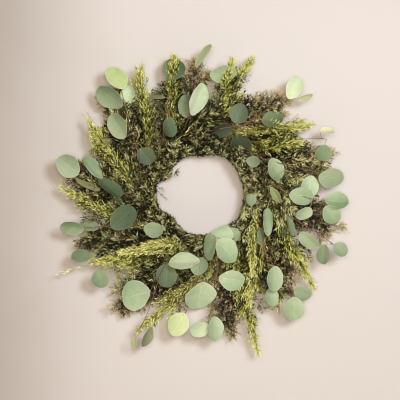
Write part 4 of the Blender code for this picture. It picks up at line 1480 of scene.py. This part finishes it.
@dataclass(frozen=True)
class Spray:
    """One spray of small foliage, from its bound root to its tip."""

    name: str
    habit: Habit
    clock: float
    tip_clock: float
    tip_radius: float
    middle_depth: float
    tip_depth: float
    lightness: float

    TIP_RADIUS, SIDES = 0.0004, 7
    INNER_RADIUS, INNER_SIDES = 0.0009, 4
    BRANCH_RADIUS, BRANCH_SIDES = 0.0008, 5
    SHOOT_RADIUS, SHOOT_SIDES = 0.0004, 3
    # Thin stems end in this share of their radius at the root
    THIN_END = 0.25
    # A stem's age, and its tint before its spray's lightness is added
    MIDWAY = 0.5
    # A rope stands before the rest of its plume, and is lighter and younger
    ROPE_FORWARD, ROPE_TINT, ROPE_AGE = 0.005, 0.08, 0.06

    def route(self) -> Route:
        """Finds the stem's route, as its CAD solid has it.

        Returns:
            The route.
        """
        tip = tuple(place(self.tip_clock, self.tip_radius, self.tip_depth))
        habit = self.habit
        route = Route(self.clock, habit.side, tip, self.middle_depth, habit.radii, habit.step)
        return route.seated(self.name)

    def grow(self, rng: Rng) -> MeshDraft:
        """Grows the stem, its branches and shoots, and their leaflets.

        Args:
            rng: The source of chance.

        Returns:
            The spray's mesh draft.
        """
        habit = self.habit
        line = self.route().line()
        stem = Strands(line[None], np.array([self.MIDWAY + self.lightness]), np.array([self.MIDWAY]))
        branches = stem.shoots(habit.branches, rng)
        shoots = [stem.shoots(habit.shoots, rng), branches.shoots(habit.twigs, rng)]
        draft = MeshDraft()
        self.add_inner_leaves(draft, stem, rng)
        radii = np.linspace(habit.radii[0], self.TIP_RADIUS, len(line))
        draft.add_tubes(line[None], radii[None], self.SIDES, SpraySkin.BARK)
        self.add_stems(draft, branches, self.BRANCH_RADIUS, self.BRANCH_SIDES)
        for strands in shoots:
            self.add_stems(draft, strands, self.SHOOT_RADIUS, self.SHOOT_SIDES)
            draft.add_leaflets(strands.leaflets(habit.needles, rng), SpraySkin.LEAFLET)
        if habit.slot is Slot.YELLOW_PLUME:
            self.add_rope(draft, stem, rng)
        for twiglet in (each for each in TWIGLETS if each.spray == self.name):
            strand = twiglet.strand(stem)
            if twiglet.leaves is ROPE:
                self.add_rope(draft, strand, rng)
            else:
                self.add_stems(draft, strand, twiglet.RADIUS, twiglet.SIDES)
                draft.add_leaflets(strand.leaflets(twiglet.leaves, rng), SpraySkin.LEAFLET)
        if habit.slot is not Slot.SPRIG:
            wisps = stem.shoots(STRAYS, rng)
            self.add_stems(draft, wisps, self.SHOOT_RADIUS, self.SHOOT_SIDES)
            draft.add_leaflets(wisps.leaflets(STRAY_LEAVES, rng), SpraySkin.LEAFLET)
        ends = replace(END_TUFT, length=habit.needles.length, width=habit.needles.width)
        for strands in (stem, branches):
            draft.add_leaflets(strands.leaflets(ends, rng), SpraySkin.LEAFLET)
        return draft

    def build(self, draft: MeshDraft, canopy: Canopy) -> Piece:
        """Makes the spray as one piece.

        Args:
            draft: What has grown.
            canopy: How far forward all the foliage reaches.

        Returns:
            The piece.
        """
        draft.darken_under(canopy)
        materials = [dressed(self.habit.bark), dressed(self.habit.leaf), dressed(OLD_GREEN)]
        piece = draft.build(self.name + "_foliage", materials, smooth=False)
        finish_piece(piece, self.name, self.habit.slot)
        return piece

    def add_inner_leaves(self, draft: MeshDraft, stem: Strands, rng: Rng) -> None:
        """Adds the inner leaves that fill the wreath between its front sprays and the wall, dark with painted
        shade.

        Args:
            draft: The mesh that they go in.
            stem: The spray's stem.
            rng: The source of chance.
        """
        branches = pressed_back(stem.shoots(INNER_BRANCHES, rng))
        twigs = pressed_back(branches.shoots(INNER_TWIGS, rng))
        self.add_stems(draft, branches, self.INNER_RADIUS, self.INNER_SIDES)
        draft.add_leaflets(twigs.leaflets(INNER_LEAVES, rng), SpraySkin.OLD_LEAF)

    def add_rope(self, draft: MeshDraft, stem: Strands, rng: Rng) -> None:
        """Adds the close, light shoots that make a rope of a plume.

        Args:
            draft: The mesh that they go in.
            stem: The spray's stem.
            rng: The source of chance.
        """
        rope = stem.shoots(ROPE, rng)
        points = rope.points - np.array([0, self.ROPE_FORWARD, 0])
        rope = Strands(points, rope.tint + self.ROPE_TINT, rope.age + self.ROPE_AGE)
        self.add_stems(draft, rope, self.SHOOT_RADIUS, self.SHOOT_SIDES)
        draft.add_leaflets(rope.leaflets(ROPE_LEAVES, rng), SpraySkin.LEAFLET)

    @staticmethod
    def add_stems(draft: MeshDraft, strands: Strands, radius: float, sides: int) -> None:
        """Adds strands as thin stems that taper.

        Args:
            draft: The mesh that they go in.
            strands: The stems.
            radius: Their radius at the root.
            sides: How many faces go round.
        """
        count, steps, _ = strands.points.shape
        radii = np.broadcast_to(np.linspace(radius, radius * Spray.THIN_END, steps), (count, steps))
        draft.add_tubes(strands.points, radii, sides, SpraySkin.BARK, strands.tint, strands.age)


STEMS = (
    Stem("eucalyptus_01", 325, (1, 247), (
        Leaf(-3, 184, 59, 34, Tone.FROST, slant=65),
        Leaf(-26, 172, 35, 44, Tone.SAGE),
        Leaf(46, 230, 48, 31, Tone.JADE, slant=10, veiled=True),
        Leaf(7, 265, 48, 18, Tone.YOUNG, slant=58),
    )),
    Stem("eucalyptus_02", 342, (127, 140), (
        Leaf(75, 156, 38, 38, Tone.DARK),
        Leaf(141, 144, 40, 35, Tone.DARK, veiled=True),
        Leaf(44, 123, 35, 27, Tone.SHADE, veiled=True),
        Leaf(79, 96, 42, 27, Tone.SHADE, veiled=True),
    )),
    Stem("eucalyptus_03", 355, (180, 192), (
        Leaf(180, 205, 43, 35, Tone.PALE, slant=66),
        Leaf(200, 184, 32, 11, Tone.CREAM, slant=14),
    )),
    Stem("eucalyptus_04", 12, (238, 106), (
        Leaf(244, 121, 25, 16, Tone.CREAM),
        Leaf(236, 77, 35, 29, Tone.SAGE),
        Leaf(184, 90, 27, 23, Tone.SHADE, veiled=True),
    )),
    Stem("eucalyptus_05", 30, (242, 36), (
        Leaf(252, 31, 46, 40, Tone.SAGE, slant=20),
        Leaf(211, 13, 38, 38, Tone.MINT),
        Leaf(146, 46, 35, 42, Tone.JADE),
        Leaf(146, -3, 34, 14, Tone.LIME, slant=-55),
    )),
    Stem("eucalyptus_06", 48, (98, 0), (
        Leaf(102, 63, 29, 21, Tone.SAGE),
        Leaf(98, -12, 21, 21, Tone.SAGE),
    )),
    Stem("eucalyptus_07", 52, (253, -25), (
        Leaf(252, -40, 38, 35, Tone.JADE),
        Leaf(263, -13, 42, 36, Tone.JADE),
        Leaf(198, -38, 35, 23, Tone.MINT, slant=12),
        Leaf(196, -4, 42, 38, Tone.JADE),
    )),
    Stem("eucalyptus_08", 70, (259, -100), (
        Leaf(209, -90, 42, 29, Tone.JADE, slant=-35),
        Leaf(236, -117, 25, 36, Tone.SAGE),
        Leaf(269, -106, 29, 29, Tone.SAGE),
        Leaf(173, -61, 42, 15, Tone.SAGE, slant=-68),
        Leaf(159, -69, 13, 29, Tone.DARK, veiled=True),
    )),
    Stem("eucalyptus_09", 88, (138, -184), (
        Leaf(129, -52, 23, 50, Tone.MINT),
        Leaf(117, -81, 15, 31, Tone.SAGE),
        Leaf(142, -163, 35, 46, Tone.JADE),
        Leaf(138, -199, 29, 34, Tone.JADE),
    )),
    Stem("eucalyptus_10", 104, (184, -201), (
        Leaf(180, -221, 44, 42, Tone.JADE),
        Leaf(198, -191, 35, 31, Tone.SAGE, veiled=True),
    )),
    Stem("eucalyptus_11", 122, (27, -94), (
        Leaf(52, -109, 44, 50, Tone.JADE),
        Leaf(41, -76, 42, 36, Tone.MINT),
        Leaf(19, -102, 25, 52, Tone.MINT),
        Leaf(63, -79, 31, 31, Tone.SAGE),
    )),
    Stem("eucalyptus_12", 140, (15, -246), (
        Leaf(-2, -259, 36, 33, Tone.MINT),
        Leaf(29, -259, 33, 44, Tone.JADE),
        Leaf(63, -165, 48, 42, Tone.MINT),
    ), hidden=True),
    Stem("eucalyptus_13", 156, (-31, -234), (
        Leaf(-33, -130, 57, 31, Tone.PALE, slant=5),
        Leaf(-2, -138, 38, 31, Tone.SAGE),
        Leaf(0, -198, 66, 48, Tone.MINT, slant=25),
        Leaf(-42, -250, 44, 44, Tone.LIME),
    ), hidden=True),
    Stem("eucalyptus_14", 186, (-115, -257), (
        Leaf(-125, -194, 54, 61, Tone.MINT),
        Leaf(-65, -159, 44, 44, Tone.DARK),
        Leaf(-101, -275, 38, 19, Tone.OLIVE, slant=66),
        Leaf(-125, -284, 12, 21, Tone.LIME),
    )),
    Stem("eucalyptus_15", 206, (-215, -134), (
        Leaf(-228, -119, 38, 25, Tone.SAGE),
        Leaf(-190, -163, 36, 35, Tone.SAGE),
    )),
    Stem("eucalyptus_16", 222, (-230, -63), (
        Leaf(-246, -65, 44, 29, Tone.SAGE),
        Leaf(-215, -61, 35, 23, Tone.SAGE, veiled=True),
        Leaf(-146, -44, 53, 46, Tone.DARK, slant=50),
        Leaf(-88, -69, 35, 33, Tone.SAGE),
    )),
    Stem("eucalyptus_17", 245, (-242, 42), (
        Leaf(-253, 54, 46, 46, Tone.SAGE),
        Leaf(-206, 52, 50, 23, Tone.MINT, slant=-52),
        Leaf(-218, 19, 49, 14, Tone.LIME, slant=-25),
        Leaf(-170, 12, 54, 25, Tone.DARK, slant=-35),
        Leaf(-163, -21, 31, 27, Tone.DARK, veiled=True),
    )),
    Stem("eucalyptus_18", 270, (-152, 204), (
        Leaf(-161, 223, 46, 38, Tone.YOUNG, slant=-48),
        Leaf(-175, 186, 54, 40, Tone.SAGE, slant=-30),
        Leaf(-138, 194, 35, 35, Tone.MINT, veiled=True),
        Leaf(-159, 132, 52, 38, Tone.JADE, slant=-72),
        Leaf(-104, 73, 36, 35, Tone.DARK),
    )),
    Stem("eucalyptus_19", 303, (-54, 227), (
        Leaf(-50, 241, 47, 42, Tone.DARK, veiled=True),
        Leaf(-86, 186, 33, 11, Tone.OLIVE),
        Leaf(-58, 127, 29, 36, Tone.DARK, veiled=True),
    )),
)
SPRAYS = (
    Spray("plume_01", PLUME, 8, 58, 0.246, 0.046, 0.04, 0.16),
    Spray("plume_02", PLUME, 26, 63, 0.212, 0.05, 0.052, 0.08),
    Spray("plume_03", OLIVE, 42, 82, 0.25, 0.036, 0.03, 0.34),
    Spray("plume_04", OLIVE, 60, 107, 0.176, 0.046, 0.05, 0.46),
    Spray("plume_05", PLUME, 80, 129, 0.28, 0.04, 0.028, 0.1),
    Spray("plume_06", PLUME, 98, 156, 0.228, 0.052, 0.046, 0.3),
    Spray("plume_07", OLIVE, 114, 145, 0.268, 0.03, 0.022, 0.04),
    Spray("plume_08", PLUME, 130, 160, 0.322, 0.034, 0.024, 0.22),
    Spray("plume_09", RED_PLUME, 146, 204, 0.284, 0.046, 0.034, 0.12),
    Spray("plume_10", PLUME, 190, 237, 0.24, 0.054, 0.044, 0.4),
    Spray("plume_11", OLIVE, 166, 222, 0.25, 0.032, 0.026, 0.04),
    Spray("plume_12", OLIVE, 200, 248, 0.236, 0.038, 0.03, 0.06),
    Spray("plume_13", PLUME, 222, 272, 0.264, 0.044, 0.03, 0.16),
    Spray("plume_14", OLIVE, 240, 284, 0.22, 0.046, 0.04, 0.1),
    Spray("plume_15", PLUME, 256, 303, 0.254, 0.05, 0.036, 0.2),
    Spray("plume_16", OLIVE, 276, 318, 0.236, 0.034, 0.026, 0.14),
    Spray("plume_17", PLUME, 292, 334, 0.264, 0.042, 0.034, 0.04),
    Spray("plume_18", PLUME, 312, 350, 0.258, 0.036, 0.03, -0.1),
    Spray("plume_19", OLIVE, 324, 6, 0.16, 0.048, 0.052, -0.1),
    Spray("plume_20", PLUME, 344, 21, 0.276, 0.034, 0.028, 0.06),
    Spray("filler_01", FILLER, 318, 0, 0.246, 0.012, 0.01, 0.24),
    Spray("filler_02", FILLER, 351, 42, 0.238, 0.015, 0.013, 0.34),
    Spray("filler_03", FILLER, 34, 76, 0.257, 0.012, 0.008, 0.06),
    Spray("filler_04", FILLER, 66, 106, 0.262, 0.01, 0.006, 0),
    Spray("filler_05", FILLER, 98, 140, 0.256, 0.012, 0.008, 0.04),
    Spray("filler_06", FILLER, 132, 170, 0.268, 0.012, 0.008, 0.04),
    Spray("filler_07", FILLER, 175, 216, 0.266, 0.01, 0.006, -0.06),
    Spray("filler_08", FILLER, 206, 249, 0.24, 0.012, 0.008, 0),
    Spray("filler_09", FILLER, 238, 280, 0.246, 0.01, 0.006, 0),
    Spray("filler_10", FILLER, 276, 318, 0.258, 0.012, 0.008, 0),
    Spray("sprig_01", SPRIG, 12, 68, 0.092, 0.03, 0.036, 0.3),
    Spray("sprig_02", SPRIG, 60, 112, 0.096, 0.028, 0.034, 0.5),
    Spray("sprig_03", SPRIG, 102, 154, 0.094, 0.03, 0.034, 0.4),
    Spray("sprig_04", SPRIG, 146, 200, 0.09, 0.028, 0.032, 0.2),
    Spray("sprig_05", SPRIG, 192, 244, 0.092, 0.03, 0.034, 0.16),
    Spray("sprig_06", SPRIG, 236, 290, 0.088, 0.028, 0.034, 0.18),
    Spray("sprig_07", SPRIG, 282, 332, 0.09, 0.03, 0.034, 0.2),
    Spray("sprig_08", SPRIG, 326, 20, 0.094, 0.028, 0.032, 0.02),
)


@cache
def leaf_shields() -> tuple[tuple[Numbers, Numbers, float], ...]:
    """Finds the eucalyptus leaves that no foliage may cover.

    Returns:
        Each open leaf's middle, the direction that it faces and its radius.
    """
    return tuple(
        (np.array(seat.middle), np.array(seat.axes[2]), leaf.radius)
        for stem in STEMS
        for leaf, seat in zip(stem.leaves, stem.seats(), strict=True)
        if not leaf.veiled
    )


@dataclass(frozen=True)
class VineRing:
    """The ring: four grapevines twisted together, with thin tendrils in the valleys between them."""

    vine_radius: float = 0.0054
    vine_height: float = 0.0062
    tendril_radius: float = 0.0016
    tendril_height: float = 0.0102
    steps: int = 200
    vine_sides: int = 14
    tendril_sides: int = 7
    knots: int = 7
    knot: float = 0.12
    swell: float = 0.05
    wander: tuple[float, float] = (0.0004, 0.0003)

    def build(self, rng: Rng) -> Piece:
        """Makes the ring as one piece.

        Args:
            rng: The source of chance.

        Returns:
            The piece.
        """
        draft = MeshDraft()
        for strand in range(RING_STRANDS):
            crest = 360 * strand / RING_STRANDS
            valley = crest + 180 / RING_STRANDS
            self.add_vine(draft, rng, crest, self.vine_height, self.vine_radius, self.vine_sides)
            self.add_vine(draft, rng, valley, self.tendril_height, self.tendril_radius, self.tendril_sides)
        piece = draft.build("vine_ring_bark", [dressed(VINE_BARK)])
        finish_piece(piece, "vine_ring", Slot.VINE)
        return piece

    def add_vine(
        self,
        draft: MeshDraft,
        rng: Rng,
        start: float,
        height: float,
        radius: float,
        sides: int,
    ) -> None:
        """Adds one vine that winds round the ring, thicker at its knots.

        Args:
            draft: The mesh that it goes in.
            rng: The source of chance.
            start: Degrees round the ring's section where it is at the top.
            height: Distance of its middle from the ring's middle line.
            radius: Its mean radius.
            sides: How many faces go round.
        """
        clocks = np.arange(self.steps) * 360 / self.steps
        phases = rng.uniform(0, math.tau, 4)
        angle = np.radians(clocks)
        slow, quick = self.wander
        wander = slow * np.sin(5 * angle + phases[0]) + quick * np.sin(11 * angle + phases[1])
        line = [
            list(on_ring(clock, start + RING_TWISTS * clock, height + off))
            for clock, off in zip(clocks, wander, strict=True)
        ]
        knots = np.maximum(0, np.sin(self.knots * angle + phases[2])) ** 8 * self.knot
        radii = radius * (1 - self.swell + self.swell * np.sin(13 * angle + phases[3]) + knots)
        draft.add_tubes(np.array(line)[None], radii[None], sides, closed=True)


@dataclass(frozen=True)
class BindingWire:
    """The thin wire that binds the roots of the stems to the ring, in one open helix."""

    radius: float = WIRE_RADIUS
    turns: int = 9
    reach: float = RING_CREST + 2 * ROOT_RADIUS + 2 * GAP + WIRE_RADIUS
    opening: float = 10.0
    turn_steps: int = 40
    sides: int = 8

    def build(self) -> Piece:
        """Makes the wire as one piece.

        Returns:
            The piece.
        """
        steps = self.turns * self.turn_steps
        share = np.arange(steps + 1) / steps
        clocks = self.opening / 2 + (360 - self.opening) * share
        sides = 360 * self.turns * share
        line = [list(on_ring(clock, side, self.reach)) for clock, side in zip(clocks, sides, strict=True)]
        draft = MeshDraft()
        draft.add_tubes(np.array(line)[None], np.full((1, steps + 1), self.radius), self.sides)
        piece = draft.build("binding_wire_enamelled", [dressed(WIRE)])
        finish_piece(piece, "binding_wire", Slot.WIRE)
        return piece


@dataclass(frozen=True)
class HangingLoop:
    """The bent wire behind the ring: a band round it, a twisted neck, and the eye that hangs on a hook."""

    wire: float = LOOP_WIRE_RADIUS
    half_width: float = 0.007
    height: float = LOOP_HEIGHT
    corner: float = 0.003
    corner_steps: int = 8
    sides: int = 12
    neck_radius: float = 0.0007
    neck_turns: float = 1.5
    neck_steps: int = 24
    neck_sides: int = 10
    band_radius: float = 0.00095
    band_points: int = 48

    def eye_line(self) -> Numbers:
        """Gives the middle line of the eye's wire.

        Returns:
            The points of a rounded rectangle, of shape (n, 3).
        """
        wide, tall = self.half_width + self.wire, self.height + 2 * self.wire
        radius = self.corner + self.wire
        points = []
        for quarter, (x, z) in enumerate(((1, 0), (1, -1), (-1, -1), (-1, 0))):
            middle = (x * (wide - radius), z * tall + (radius if z else -radius))
            for step in range(self.corner_steps + 1):
                angle = math.radians(90 - 90 * quarter - 90 * step / self.corner_steps)
                across, up = radius * math.cos(angle), radius * math.sin(angle)
                points.append((middle[0] + across, 0.0, middle[1] + up))
        return np.array(points) + np.array([0.0, 0.0, self.wire])

    def neck_lines(self) -> Numbers:
        """Gives the middle lines of the two wires twisted into the neck.

        Returns:
            The points, of shape (2, n, 3).
        """
        start = np.array(on_ring(0, 180, RING_CREST + self.wire))
        end = np.array([0.0, 0.0, -self.height - self.wire])
        run = np.linspace(0, 1, self.neck_steps)
        side, up = crosswise(unit((end - start)[None]))
        lines = []
        for offset in (0.0, math.pi):
            turn = self.neck_turns * math.tau * run + offset
            swing = np.cos(turn)[:, None] * side + np.sin(turn)[:, None] * up
            lines.append(start + (end - start) * run[:, None] + swing * self.neck_radius)
        return np.array(lines)

    def build(self) -> Piece:
        """Makes the loop as one piece.

        Returns:
            The piece.
        """
        draft = MeshDraft()
        eye = self.eye_line()
        draft.add_tubes(eye[None], np.full((1, len(eye)), self.wire), self.sides, closed=True)
        neck = self.neck_lines()
        draft.add_tubes(neck, np.full(neck.shape[:2], self.neck_radius), self.neck_sides)
        reach = RING_CREST + GAP + self.wire
        sides = [360 / self.band_points * k for k in range(self.band_points)]
        band = np.array([list(on_ring(0, side, reach)) for side in sides])
        draft.add_tubes(band[None], np.full((1, len(band)), self.band_radius), self.sides, closed=True)
        piece = draft.build("hanging_loop_wire", [dressed(WIRE)])
        finish_piece(piece, "hanging_loop", Slot.WIRE)
        return piece


@dataclass(frozen=True)
class SoftLight:
    """A square soft light that faces the wreath: its place, its side's length, its power and its colour."""

    name: str
    at: Point
    size: float
    watts: float
    colour: str

    def build(self) -> None:
        """Adds the light to the scene."""
        lamp = bpy.data.lights.new(self.name, "AREA")
        lamp.size = self.size
        lamp.energy = self.watts
        lamp.color = linear(self.colour)[:3]
        holder = bpy.data.objects.new(self.name, lamp)
        holder.location = self.at
        holder.rotation_euler = (PHOTO_MIDDLE - Vector(self.at)).to_track_quat("-Z", "Y").to_euler()
        bpy.context.scene.collection.objects.link(holder)


@dataclass(frozen=True)
class Studio:
    """The pale wall and floor, the soft lights and the camera. None of it is part of the wreath."""

    wall_colour: str = "#D8D5D2"
    shaded_colour: str = "#AAA49C"
    floor_colour: str = "#E4DED6"
    # Painted shade on the backdrops, to the left and low down: the noise on its edge, where it falls, and its
    # share low down
    mottle_mm: float = 333.0
    mottle_share: float = 0.15
    side_fade: tuple[float, float] = (-0.44, -0.04)
    low_fade: tuple[float, float] = (-0.55, 0.15)
    low_share: float = 0.26
    wall_at: float = 0.004
    half_width: float = 2.6
    low: float = -1.3
    high: float = 1.8
    floor_half_width: float = 5.2
    floor_reach: float = 5.0
    lights: tuple[SoftLight, ...] = (
        SoftLight("key_light", (0.60, -2.4, 0.26), 0.42, 37, "#E6EFFA"),
        SoftLight("front_light", (-0.02, -2.9, -0.06), 0.6, 50, "#FFEAD7"),
        SoftLight("back_light", (-0.8, 1.8, 0.9), 1.5, 40, "#FFF4E6"),
    )
    room_colour: str = "#F2D2AC"
    room_strength: float = 0.14
    camera_distance: float = 2.4
    sensor_mm: float = 36.0

    def paint(self, name: str, colour: str, one_sided: bool) -> Material:
        """Makes a backdrop's matt paint, with painted shade to the left, where noise mottles its edge, and
        low down.

        Args:
            name: The backdrop's name.
            colour: Its paint, as hex.
            one_sided: Whether it shows from its front alone.

        Returns:
            The material.
        """
        material, add, shader = new_material(name + "_matt_paint")
        place_3d = add("TexCoord", output="Object")
        mottle = add("TexNoise", {"Vector": place_3d, "Scale": 1000 / self.mottle_mm, "Detail": 3.0})
        across, _, height = add("SeparateXYZ", (place_3d,)).node.outputs
        # Painted shade: the paint turns to the shade colour to the left and low down
        fade = add("Math", (mottle, self.mottle_share, across), operation="MULTIPLY_ADD")
        lit = add("MapRange", (fade, *self.side_fade), interpolation_type="SMOOTHSTEP")
        dull = linear(self.shaded_colour)
        coat = add("Mix", {0: lit, MIX_A: dull, MIX_B: linear(colour)}, MIX_RESULT, data_type="RGBA")
        down = add("MapRange", (height, *self.low_fade, self.low_share, 0.0))
        whole = add("Mix", {0: down, MIX_A: coat, MIX_B: dull}, MIX_RESULT, data_type="RGBA")
        feed(shader, {"Base Color": whole, "Roughness": 0.9})
        if one_sided:
            back = add("NewGeometry", output="Backfacing")
            both = add("MixShader", (back, shader.outputs["BSDF"], add("BsdfTransparent")))
            feed(material.node_tree.nodes["Material Output"], {"Surface": both})
        return material

    def add_backdrop(self, name: str, rim: Sequence[Point], colour: str, one_sided: bool = False) -> None:
        """Adds a flat backdrop.

        Args:
            name: Its name.
            rim: Its four corners, anticlockwise from the front.
            colour: Its paint, as hex.
            one_sided: Whether it shows from its front alone, and lets light from behind through, so that the
                wreath's back can be looked at.
        """
        mesh = bpy.data.meshes.new(name)
        mesh.from_pydata(rim, [], [(0, 1, 2, 3)])
        mesh.materials.append(self.paint(name, colour, one_sided))
        backdrop = bpy.data.objects.new(name, mesh)
        backdrop.visible_shadow = not one_sided
        bpy.context.scene.collection.objects.link(backdrop)

    def add_camera(self) -> None:
        """Adds the camera, straight before the wreath, at the photograph's scale."""
        scene = bpy.context.scene
        lens = bpy.data.cameras.new("camera")
        lens.sensor_width = self.sensor_mm
        lens.lens = self.sensor_mm * self.camera_distance / PHOTO_SPAN
        camera = bpy.data.objects.new("camera", lens)
        camera.location = PHOTO_MIDDLE + Vector((0, -self.camera_distance, 0))
        camera.rotation_euler = (math.pi / 2, 0, 0)
        scene.collection.objects.link(camera)
        scene.camera = camera

    def build(self) -> None:
        """Sets up the backdrops, the lights, the room's own light and the camera."""
        wide, low, high, back = self.half_width, self.low, self.high, self.wall_at
        wall = [(-wide, back, low), (wide, back, low), (wide, back, high), (-wide, back, high)]
        self.add_backdrop("studio_wall", wall, self.wall_colour, one_sided=True)
        wide, reach = self.floor_half_width, self.floor_reach
        floor = [(-wide, -reach, low), (wide, -reach, low), (wide, reach, low), (-wide, reach, low)]
        self.add_backdrop("studio_floor", floor, self.floor_colour)
        for light in self.lights:
            light.build()
        world = bpy.data.worlds.new("pale_room")
        world.use_nodes = True
        room = {"Color": linear(self.room_colour), "Strength": self.room_strength}
        feed(world.node_tree.nodes["Background"], room)
        bpy.context.scene.world = world
        bpy.context.scene.view_settings.view_transform = "Standard"
        bpy.context.scene.cycles.filter_width = 1.0  # as crisp as the photograph
        self.add_camera()
        LOG.info("studio: wall, floor, %d soft lights and the camera", len(self.lights))


def chance(*stream: int) -> Rng:
    """Gives the source of chance of one piece, which is the same in each run."""
    return np.random.default_rng([SEED, *stream])


def main() -> None:
    """Builds the wreath and its studio."""
    logging.basicConfig(level=logging.INFO, format="%(message)s")
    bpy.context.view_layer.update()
    VineRing().build(chance(0))
    BindingWire().build()
    HangingLoop().build()
    for number, stem in enumerate(STEMS):
        stem.build(chance(1, number))
    grown = [spray.grow(chance(2, number)) for number, spray in enumerate(SPRAYS)]
    canopy = Canopy.over(grown)
    for spray, draft in zip(SPRAYS, grown, strict=True):
        spray.build(draft, canopy)
    Studio().build()


if __name__ == "__main__":
    main()
